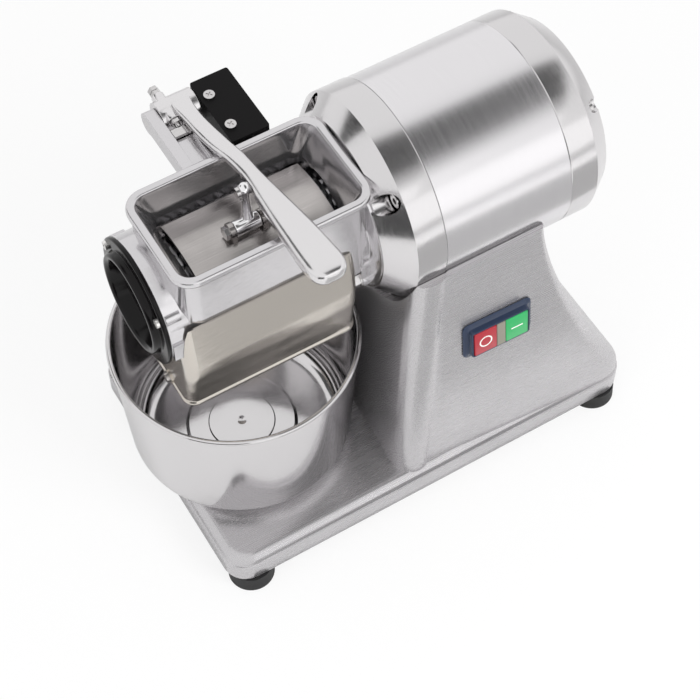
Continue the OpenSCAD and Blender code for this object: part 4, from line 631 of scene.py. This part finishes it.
def hopper_ring(z, d):
    """Inside of the hopper at height z above the axis: it narrows, and its end walls slope like a funnel"""
    sides = sides_in * min(1, max(0, (rim_h - z) / rim_h))
    ends = ends_in * min(1, max(0, (rim_h - z) / slope_h))
    return rounded_ring(mouth_x0 + ends - d, mouth_x1 - ends + d, mouth_y0 + sides - d, mouth_y1 - sides + d,
                        max(mouth_r - sides + d, 4.8), axis_z + z, 10)


head = skin("head_casting", [wall_ring(z, d) for z, d in (
    (-20, 3.5), (62.2, 3.5), (63.6, 3.9), (64.5, 4.8), (65.2, 5.8), (66.2, 6.6), (67.4, 6.8), (69.6, 6.8),
    (70.9, 6.5), (71.6, 6.0), (71.95, 5.3), (72.0, 4.6))])
# Radii of the drum's chamber, of its bore and of the flange, the X of the chamber's open end and of the
# flange's face, and that of the faces of the two cheeks, with the hinge axis behind the hopper
chamber_r, bore_r, flange_r, chamber_x0, flange_x1 = 53, 46, 69.7, -202.7, -19.1
cheeks = (-135.0, -125.5, -110.5, -105.0)
hinge_y, hinge_z, pin_hole_r = 106 + axis_y, 60 + axis_z, 5.05
carve(head, spun_x("chamber", [
    (on_axis, chamber_x0), (chamber_r, chamber_x0), (chamber_r, -25.8), (flange_r, -25),
    (flange_r, flange_x1), (on_axis, flange_x1)], 0.6), how="UNION")
# Ears for the studs, and below bosses for the screws of the end cap
carve_ring(head, stud_angles, stud_ring, (8.5, -30.5, -24, 40), how="UNION")
carve(head, rod("gusset", 6.5, (-34, axis_y - 47, axis_z - 18), (-24, axis_y - 47, axis_z - 18), 40),
      brick("gusset_foot", (-34, axis_y - 53.5, axis_z - 31), (-24, axis_y - 40.5, axis_z - 18)), how="UNION")
carve_ring(head, cap_angles, cap_ring, (5.5, -201.7, -189.7, 40), how="UNION")
carve(head, brick("front_rib", (-201.7, axis_y - 55, axis_z - 16), (-184.4, axis_y - 45, axis_z + 2)),
      how="UNION")
for x0, x1 in ((cheeks[0], cheeks[1]), (cheeks[2], cheeks[3])):
    cheek = brick("cheek", (x0, mouth_y1 + 1.75, hinge_z - 7.5), (x1, hinge_y, hinge_z + 9.5))
    carve(cheek, rod("barrel", 9.5, (x0, hinge_y, hinge_z), (x1, hinge_y, hinge_z), 64), how="UNION")
    carve(head, cheek, how="UNION")
carve(head,
      brick("bridge", (cheeks[0], mouth_y1 + 1.75, hinge_z - 7.5),
            (cheeks[3], mouth_y1 + 45.8, hinge_z + 1.5)),
      brick("bridge_top", (cheeks[0], mouth_y1 + 1.75, hinge_z - 7.5),
            (cheeks[3], mouth_y1 + 37.8, hinge_z + 5.5)),
      brick("shelf", (-89.9, mouth_y1 + 1.75, axis_z + 41), (-55.9, axis_y + 108.45, axis_z + 44.9)),
      brick("shelf_rib", (-89.9, mouth_y1 + 1.75, axis_z + 33), (-85.9, axis_y + 97.25, axis_z + 44.7)),
      how="UNION")
carve(head,
      skin("hopper_inside", [hopper_ring(z, d) for z, d in (
          (-2, 0), (0, 0), (30, 0), (44, 0), (66, 0), (70.8, 0), (71.4, 0.2), (71.8, 0.6), (72.1, 1.2),
          (73.5, 2.0))]),
      spun_x("bore", [
          (on_axis, -210), (bore_r, -210), (bore_r, -27), (22, -27), (22, -15), (on_axis, -15)]),
      brick("outlet", (mouth_x0 + 6, axis_y - 40, axis_z - 54), (mouth_x1 - 6, axis_y + 40, axis_z)),
      rod("pin_bore", pin_hole_r, (-136, hinge_y, hinge_z), (-104, hinge_y, hinge_z)))
carve_ring(head, stud_angles, stud_ring, (stud_hole_r, -34, -15, 24))
carve_ring(head, cap_angles, cap_ring, (cap_hole_r, -204, -190.7, 24))
interlock_ys, interlock_hole_r = (63.65, 98.65), 2.05
for y in interlock_ys:
    carve(head, rod("hole", interlock_hole_r, (-82.4, axis_y + y, 310), (-82.4, axis_y + y, 350), 24))
dress(head, head_alloy, "machine", "polished_aluminium", "head_casting")
for node in ("head_studs", "head_nuts", "hinge_pin", "stop_block"):
    finish_node(node, screw_steel)

# End cap
# A black plastic cap with a deep dish, turned to fit the open end of the chamber. Three bright screws
# round its edge hold it to bosses of the casting.
# Glossy ABS is a deep black that mirrors lamps only
cap_plastic = moulded("glossy_black_abs", "0d0b0c", 0.16, 0.01, shine=0.2)
cap = spun_x("end_cap", [
    (on_axis, -196.7), (45.95, -196.7), (45.95, -202.8), (54.5, -202.8), (54.5, -205.7), (53.5, -206.7),
    (44, -206.7), (43.4, -210.7), (42, -212.7), (39, -212.7), (37, -210.7), (35, -199.7), (28, -199.7),
    (28, -201.2), (on_axis, -201.2)], 1.0)
carve_ring(cap, cap_angles, cap_ring, (cap_hole_r, -215, -195, 24))
dress(cap, cap_plastic, "machine", "black_plastic", "end_cap")
# Nickel plate is whiter than bare steel, and shines softly from all sides
bright_plate = hair_lined("nickel_plated_steel", "eeecea", 0.24, 0.7, 4.0, 0.04, metal_share=0.8)
finish_node("end_cap_screws", bright_plate)

# Discharge chute
# Stainless sheet, folded round the drum's outlet with a full, curved front, and with its lower lip
# rolled into a hem. A screw holds it at the lug below the cap.
# Satin stainless sheet mirrors the bowl below with soft edges. Its colour carries a warm tint of the light,
# painted in
chute_steel = buffed("satin_stainless_sheet", "ccc6be", 0.2, 0.06, line=0.003, metal_share=0.92)
# Ends, front, back and corner radius of the chute, its top edge above the drum axis, its height and the
# thickness of the sheet, and the place of its lug
chute_x0, chute_x1, chute_front, chute_back, chute_r = -196.0, -40.0, -55.75, 44, 10
chute_top, chute_tall, sheet_t = 14.4, 99.9, 1.5
lug_y, lug_z = axis_y - 23, axis_z - 85
# Heights from the drum axis, and how far the front stands out there
swell = [(14.4, 0.0), (0.0, 2.4), (-13.5, 4.5), (-29.7, 6.0), (-45.0, 5.4), (-64.8, 2.7), (-85.5, 0.0)]


def swell_at(z):
    """How far the chute's front stands out at height z from the axis, on a smooth curve"""
    for (z0, s0), (z1, s1) in zip(swell, swell[1:]):
        if z0 >= z >= z1:
            u = (z0 - z) / (z0 - z1)
            u = u * u * (3 - 2 * u) * 0.35 + u * 0.65
            return s0 + (s1 - s0) * u
    return 0.0


def chute_ring(z, d):
    """Outline of the chute at height z from the axis, drawn in by d"""
    return rounded_ring(chute_x0 + d, chute_x1 - d, axis_y + chute_front - swell_at(z) + d,
                        axis_y + chute_back - d, chute_r - d, axis_z + z, 8)


def mouth_ring(z, d):
    """Outline of the chute's mouth at height z from the axis, widened by d"""
    return rounded_ring(chute_x0 - d, chute_x1 + d, axis_y + chute_front - d, axis_y + chute_back + d,
                        chute_r + d, axis_z + z, 8)


heights = [chute_top - chute_tall * i / 26 for i in range(27)]
chute = skin("discharge_chute", [chute_ring(z, 0) for z in reversed(heights)])
hem = skin("hem", [mouth_ring(z, d) for z, d in (
    (-90, 0.1), (-89.7, 0.8), (-88.9, 1.3), (-87.9, 1.4), (-86.9, 1.2), (-85.9, 0.6), (-85.2, 0.1),
    (-84, -0.4))])
carve(chute, hem, rod("lug", 6, (-197.5, lug_y, lug_z), (-194.5, lug_y, lug_z), 32), how="UNION")
carve(chute,
      skin("chute_inside", [mouth_ring(-92, -sheet_t)] + [chute_ring(z, sheet_t) for z in reversed(heights)]
           + [mouth_ring(16, -sheet_t)]),
      rod("chamber_cut", 53.3, (-203.7, axis_y, axis_z), (-25, axis_y, axis_z), round_steps),
      brick("top_cut", (-193, axis_y - 54.25, axis_z - 7), (-25, axis_y + 45, axis_z + 72)),
      brick("rib_cut", (-203.7, axis_y - 55.3, axis_z - 16.3), (-184.1, axis_y - 44.7, axis_z + 72)),
      brick("side_cut", (-197, axis_y - 52.75, axis_z - 7), (-25, axis_y + 45, axis_z + 72)),
      rod("lug_hole", 2.05, (-202, lug_y, lug_z), (-190, lug_y, lug_z), 24))
carve_ring(chute, cap_angles, cap_ring, (5.8, -203.7, -188.7, 32))
dress(chute, chute_steel, "machine", "sheet_steel", "discharge_chute", angle=30)
finish_node("chute_screws", screw_steel)

# Grating drum
# A stainless drum with rows of raised rasp teeth round a hub. It is keyed to the end of the motor
# shaft and held there by a nut.
# Ground stainless with fine rings from the grinding. Its colour is darkened to a mid grey as painted shade
# for the chamber it sits in
drum_steel_painted_shade = buffed("ground_stainless_painted_shade", "8f8e90", 0.3, 0.1, line=0.02, run="round X")
finish_node("grating_drum", drum_steel_painted_shade)
finish_node("drum_nut", screw_steel)

# Lever
# A cast aluminium arm from the hinge behind the hopper to a broad grip in front. It carries the stop
# screw, and its hub turns on the hinge pin between the two cheeks of the casting.
# Linished on a belt and buffed, the arm has a soft uneven shine, and its edges are worn bright
lever_alloy = buffed("linished_cast_aluminium", "dedcdd", 0.2, 0.16, edge=0.8, line=0.008)
# Sixteen stations from the hinge to the tip: Y, top and offset to the left of the arm's middle, and its
# depth and width, each as a share of the reach, rise, offset, depth and width below. The bar is then drawn
# a little thinner and lower, so that its skin stays inside the box of the solid.
lever_y = [1.04, 0.98, 0.92, 0.76, 0.6, 0.43, 0.25, 0.05,
           -0.18, -0.42, -0.64, -0.84, -0.98, -1.06, -1.1, -1.115]
lever_top = [1.17, 1.24, 1.27, 1.31, 1.345, 1.365, 1.39, 1.42,
             1.47, 1.53, 1.58, 1.62, 1.655, 1.66, 1.645, 1.6]
lever_deep = [0.4, 0.45, 0.42, 0.56, 0.62, 0.6, 0.72, 0.92, 1.02, 1.05, 1.08, 1.12, 1.12, 1, 0.8, 0.4]
lever_wide = [0.55, 0.56, 0.52, 0.47, 0.49, 0.485, 0.46, 0.47, 0.62, 0.78, 0.9, 0.98, 1, 0.86, 0.6, 0.28]
lever_side = [0.7, 0.8, 0.88, 0.86, 0.76, 0.54, 0.21, 0.05, 0.03, 0.02, 0, 0, 0, 0, 0, 0]
reach, rise, offset, deepest, widest = 106, 60, 12, 14, 31
thinner, lower = 0.15, 0.1
# Places of the stop screw and of the screw that fixes the link, and the radius of the holes for both
stop_x, stop_z = -117, hinge_z + 8
screw_y, screw_z, small_hole_r = axis_y - 3, axis_z + 78, 2.55


def between(values, t):
    """A smooth value at station t through the given ones"""
    i = min(int(t), len(values) - 2)
    u = t - i
    a, b = values[max(i - 1, 0)], values[i]
    c, d = values[i + 1], values[min(i + 2, len(values) - 1)]
    return 0.5 * (2 * b + (c - a) * u + (2 * a - 5 * b + 4 * c - d) * u * u
                  + (3 * b - a - 3 * c + d) * u ** 3)


lever_rings, steps = [], 75
for k in range(steps + 1):
    t = k * 15 / steps
    w, deep = widest * between(lever_wide, t), deepest * between(lever_deep, t) - thinner
    top, x = rise * between(lever_top, t) - lower, -95.5 - offset * between(lever_side, t)
    r = min(w, deep) * 0.42
    lever_rings.append([(px, axis_y + reach * between(lever_y, t), axis_z + pz)
                        for px, pz, _ in rounded_ring(x - w / 2, x + w / 2, top - deep, top, r, 0, 5)])
lever = skin("lever", lever_rings)
carve(lever, rod("hub", 14, (-125, hinge_y, hinge_z), (-92.5, hinge_y, hinge_z), 64),
      rod("stop_boss", 5.4, (stop_x, hinge_y - 14.5, stop_z), (stop_x, hinge_y + 14.5, stop_z), 40),
      how="UNION")
# Room for the right cheek: round the hub above, and straight out to the back
slot_ring = [(15 * math.cos(a), 15 * math.sin(a))
             for a in (math.radians(180 + 149 * i / 24) for i in range(25))]
slot_ring += [(10 * math.cos(a), 10 * math.sin(a))
              for a in (math.radians(-31 + 131 * i / 24) for i in range(25))]
slot_ring += [(-2.5, 10), (-28, 10), (-28, 0)]
carve(lever,
      skin("cheek_slot", [[(x, hinge_y + y, hinge_z + z) for y, z in slot_ring] for x in (-111, -104.5)]),
      rod("pin_bore", pin_hole_r, (-127, hinge_y, hinge_z), (-90, hinge_y, hinge_z)),
      rod("stop_bore", small_hole_r, (stop_x, hinge_y - 30, stop_z), (stop_x, hinge_y + 30, stop_z), 24),
      brick("link_seat", (-120, axis_y - 15, axis_z + 66), (-102.8, axis_y + 9, axis_z + 84.5)),
      rod("link_bore", small_hole_r, (-127, screw_y, screw_z), (-95.5, screw_y, screw_z), 24))
# A groove in the hub's end, where the interlock's pin rides
groove = [[(x, hinge_y + q * math.cos(a), hinge_z + q * math.sin(a)) for q, x in (
    (6.4, -95.7), (11.6, -95.7), (11.6, -91), (6.4, -91))]
    for a in (math.radians(279 + 342 * i / 40) for i in range(41))]
carve(lever, skin("pad_groove", groove))
dress(lever, lever_alloy, "lever", "polished_aluminium", "lever", angle=40)
for node in ("stop_screw", "stop_locknut", "link_screw"):
    finish_node(node, screw_steel)

# Pusher and its link
# The link is a small forging that a screw fixes to the lever. The pusher is a curved aluminium plate
# over the drum, and it tilts on a bolt through its two ears and the link's foot.
# Place of that bolt, and the radius of the holes for it
bolt_y, bolt_z, bolt_hole_r = axis_y - 14, axis_z + 52, 3.05
# Radii of the link from its foot to its top, which is a dome
neck_widths = [6.6, 6.3, 5.5, 4.8, 4.3, 4.0, 3.9, 4.0, 4.3, 4.7, 4.6]
neck, steps, dome = [], 40, 0.88
for k in range(steps + 1):
    u = k / steps
    r = between(neck_widths, u * 10)
    if u > dome:
        r *= math.sqrt(max(0.002, 1 - ((u - dome) / (1 - dome)) ** 2))
    neck.append([
        (-111.2 + 3.8 * u + r * math.cos(a), bolt_y + 11 * u + r * math.sin(a), axis_z + 50 + 35.5 * u)
        for a in (2 * math.pi * i / 40 for i in range(40))])
link = skin("pusher_link", neck)
foot = spun_x("barrel", [
    (on_axis, -123.9), (6.0, -123.9), (6.5, -123.2), (6.5, -102.6), (6.0, -101.9), (on_axis, -101.9)], 0.3)
foot.data.transform(Matrix.Translation((0, (bolt_y - axis_y) * mm, (bolt_z - axis_z) * mm)))
carve(link, foot, rod("screw_boss", 5.2, (-111.4, screw_y, screw_z), (-103.4, screw_y, screw_z), 40),
      how="UNION")
carve(link, rod("bolt_bore", bolt_hole_r, (-130, bolt_y, bolt_z), (-95, bolt_y, bolt_z), 32),
      rod("screw_bore", small_hole_r, (-130, screw_y, screw_z), (-95, screw_y, screw_z), 32),
      brick("head_room", (-125, axis_y - 8.5, axis_z + 72), (-111.4, axis_y + 3, axis_z + 84)))
# Mirror polish shows the hopper and the lever in it, small and sharp
link_alloy = buffed("mirror_polished_aluminium", "ecebec", 0.08, 0.1, line=0.005)
dress(link, link_alloy, "lever", "polished_aluminium", "pusher_link", angle=50)

# Ends and middle of the pusher, half its width, the radius below it, and the heights above the drum axis of
# its top and its lower edge, with how far the top falls towards its sides
pusher_x0, pusher_x1 = -166.9, -44.9
pusher_y, pusher_half, under_r = -6.7, 33, 41.0
crown_h, edge_h, crown_fall = 45, 18, 6


def pusher_ring(x, d):
    """Outline of the pusher's section at x, drawn in by d: a crowned top, and the drum's round below"""
    y0, y1 = pusher_y - pusher_half + d, pusher_y + pusher_half - d
    top = [(pusher_y + (-1 + i / 16) * (pusher_half - d), crown_h - crown_fall * (-1 + i / 16) ** 2 - d)
           for i in range(33)]
    low = []
    for i in range(25):
        y = y1 + (y0 + 2 - y1) * i / 24
        low.append((y, max(edge_h + d, math.sqrt(max(0, under_r ** 2 - y * y)) + d)))
    return [(x, axis_y + y, axis_z + z) for y, z in top + low + [(y0, edge_h + d)]]


pusher = skin("pusher", [pusher_ring(x, d) for x, d in (
    (pusher_x0, 0.7), (pusher_x0 + 0.2, 0.2), (pusher_x0 + 0.8, 0.0),
    (pusher_x1 - 0.8, 0.0), (pusher_x1 - 0.2, 0.2), (pusher_x1, 0.7))])
for x in (-128.4, -101.4):
    ear = brick("ear", (x, axis_y - 21, axis_z + 43), (x + 4, axis_y - 7, bolt_z))
    carve(ear, rod("ear_end", 7, (x, bolt_y, bolt_z), (x + 4, bolt_y, bolt_z), 40), how="UNION")
    carve(pusher, ear, how="UNION")
carve(pusher, rod("bolt_bore", bolt_hole_r, (-135, bolt_y, bolt_z), (-90, bolt_y, bolt_z), 32),
      rod("link_room", 6.8, (-124.4, bolt_y, bolt_z), (-101.4, bolt_y, bolt_z), 40))
# Rubbed by hand along its length, the casting is a darker grey with long streaks and blotches
pusher_alloy = hair_lined("hand_rubbed_cast_aluminium", "aeaaa8", 0.24, 1.1, 60.0, 0.05, clouds=0.16)
dress(pusher, pusher_alloy, "pusher", "polished_aluminium", "pusher", angle=35)
for node in ("pusher_bolt", "pusher_nut"):
    finish_node(node, screw_steel)

# Interlock
# A black box with a micro switch, held on the casting's shelf by two cross screws. The hub of the
# lever pushes the switch's pin in.
# Moulded in a spark eroded tool, the ABS is matt and nearly black from every side
box_plastic = moulded("matt_black_abs", "100f10", 0.5, 0.03, shine=0.12)
for node in ("interlock_housing", "interlock_switch"):
    finish_node(node, box_plastic)
for node in ("interlock_screws", "interlock_pin"):
    finish_node(node, screw_steel)

# Push buttons
# A twin push button in a dark surround that stands off the front wall: red with a ring for stop,
# green with a bar for start, and a grey lamp window between them. The marks are moulded in and filled.
# The surround's ABS is a deep navy that mirrors the lamps
surround = moulded("navy_abs", "2a364e", 0.16, 0.01)
plate_rings = []
for y, w, h, r in (
        (-0.3, 66, 40, 5.4), (-1.0, 66.8, 40.8, 5.6), (-1.5, 66, 40, 5.4), (-2.2, 60, 34, 4.0),
        (-3.2, 57.4, 31.4, 3.3), (-7.2, 57, 31, 3), (-7.8, 56.4, 30.4, 2.8), (-8.0, 55.4, 29.4, 2.4)):
    plate_rings.append([(x, y, z) for x, z, _ in rounded_ring(-w / 2, w / 2, -h / 2, h / 2, r, 0, 6)])
housing = skin("button_housing", plate_rings)
# The push pieces and the contact block stand in rooms in the front and the back
carve(housing, brick("back", (-26.5, -1, -12), (26.5, 8, 12)), how="UNION")
carve(housing, brick("front_room", (-26.9, -12, -13.9), (26.9, -2, 13.9)),
      brick("back_room", (-24.5, -3, -10), (24.5, 9, 10)))
housing.matrix_world = wall
dress(housing, surround, "machine", "navy_plastic", "button_housing")
finish_node("button_block", fan_nylon)

# Both caps are glossy ABS in strong colours, the marks a white filling, and the lens a smoky grey
button_red = moulded("red_abs", "ad2734", 0.24, 0.01)
button_green = moulded("green_abs", "2fae63", 0.24, 0.01)
mark_white = moulded("white_filled_mark", "f4f4f0", 0.4, 0.01)
lamp_grey = moulded("grey_lens", "8d8a7d", 0.3, 0.01)
# Y of the caps' faces, and of the back and the front of the marks in them
face_y, mark_y0, mark_y1 = -8.6, -8.55, -8.66
for node, x0, x1, plastic, slot in (("stop_button", -26.1, -4.4, button_red, "red_plastic"),
                                    ("start_button", 4.4, 26.1, button_green, "green_plastic")):
    rings = []
    for y, d in ((-5.6, 0), (-7.9, 0), (-8.35, 0.2), (face_y, 0.7)):
        rings.append([(x, y, z) for x, z, _ in rounded_ring(x0 + d, x1 - d, -13.5 + d, 13.5 - d, 1.2, 0, 4)])
    push = skin(node + "_cap", rings)
    carve(push, brick("stem", (x0 + 3.2, -7, -8.8), (x1 - 3.2, 1.4, 8.8)), how="UNION")
    push.matrix_world = wall
    dress(push, plastic, node, slot, node)
    face_x = (x0 + x1) / 2
    if node == "stop_button":
        rings = [[(face_x + q * math.cos(a), y, q * math.sin(a)) for q, y in (
            (4.9, mark_y0), (4.9, mark_y1), (6.2, mark_y1), (6.2, mark_y0))]
            for a in (2 * math.pi * i / 48 for i in range(48))]
        mark = skin("stop_ring", rings, closed=True)
    else:
        mark = brick("start_bar", (face_x - 5.6, mark_y1, -0.7), (face_x + 5.6, mark_y0, 0.7))
    mark.matrix_world = wall
    dress(mark, mark_white, node, slot)
finish_node("lamp_window", lamp_grey)

# Bowl
# Stainless sheet, spun over a form: a round with a rolled bead, a rounded foot and a bottom that steps
# up in the middle. It stands loose on the deck.
# Polished after spinning, the steel is close to a mirror, with a faint grain round and round
bowl_steel = buffed("spun_stainless", "d4d2d3", 0.11, 0.05, line=0.008)
bowl_x, bowl_z0, bowl_h = -126.0, 46.3, 143
# Radii of the wall above and at its foot, of the foot's rounding and of the bead, and the sheet's thickness
wall_r, low_r, round_r, bead_r, bowl_t = 105.3, 98.0, 22.0, 2.2, 1.2
top, inner_r = bowl_z0 + bowl_h, round_r - bowl_t
# Up the outside, round the bead, down the inside, and over the steps to the dimple, as radius and height
outline = [(on_axis, bowl_z0 + 4), (29, bowl_z0 + 4), (30, bowl_z0 + 3), (47, bowl_z0 + 3), (50, bowl_z0)]
outline += [(low_r - round_r + round_r * math.sin(a), bowl_z0 + round_r - round_r * math.cos(a))
            for a in (math.radians(90 * i / 14) for i in range(15))]
outline += [(wall_r, top - 3.4)]
outline += [(wall_r - bowl_t / 2 + bead_r * math.sin(a), top - bead_r - bead_r * math.cos(a))
            for a in (math.radians(20 + 320 * i / 16) for i in range(17))]
outline += [(wall_r - bowl_t, top - 4.2)]
outline += [(low_r - round_r + inner_r * math.sin(a), bowl_z0 + round_r - inner_r * math.cos(a))
            for a in (math.radians(90 - 90 * i / 14) for i in range(15))]
outline += [(q, bowl_z0 + z + bowl_t) for q, z in (
    (50, 0), (47, 3), (30, 3), (29, 4), (5, 4), (4, 3.93), (2.8, 3.72), (1.4, 3.56), (on_axis, 3.5))]
rings = []
for k in range(192):
    a = 2 * math.pi * k / 192
    rings.append([(bowl_x + q * math.cos(a), axis_y + q * math.sin(a), z) for q, z in outline])
bowl = skin("bowl", rings, closed=True)
dress(bowl, bowl_steel, "bowl", "sheet_steel", "bowl", angle=32)
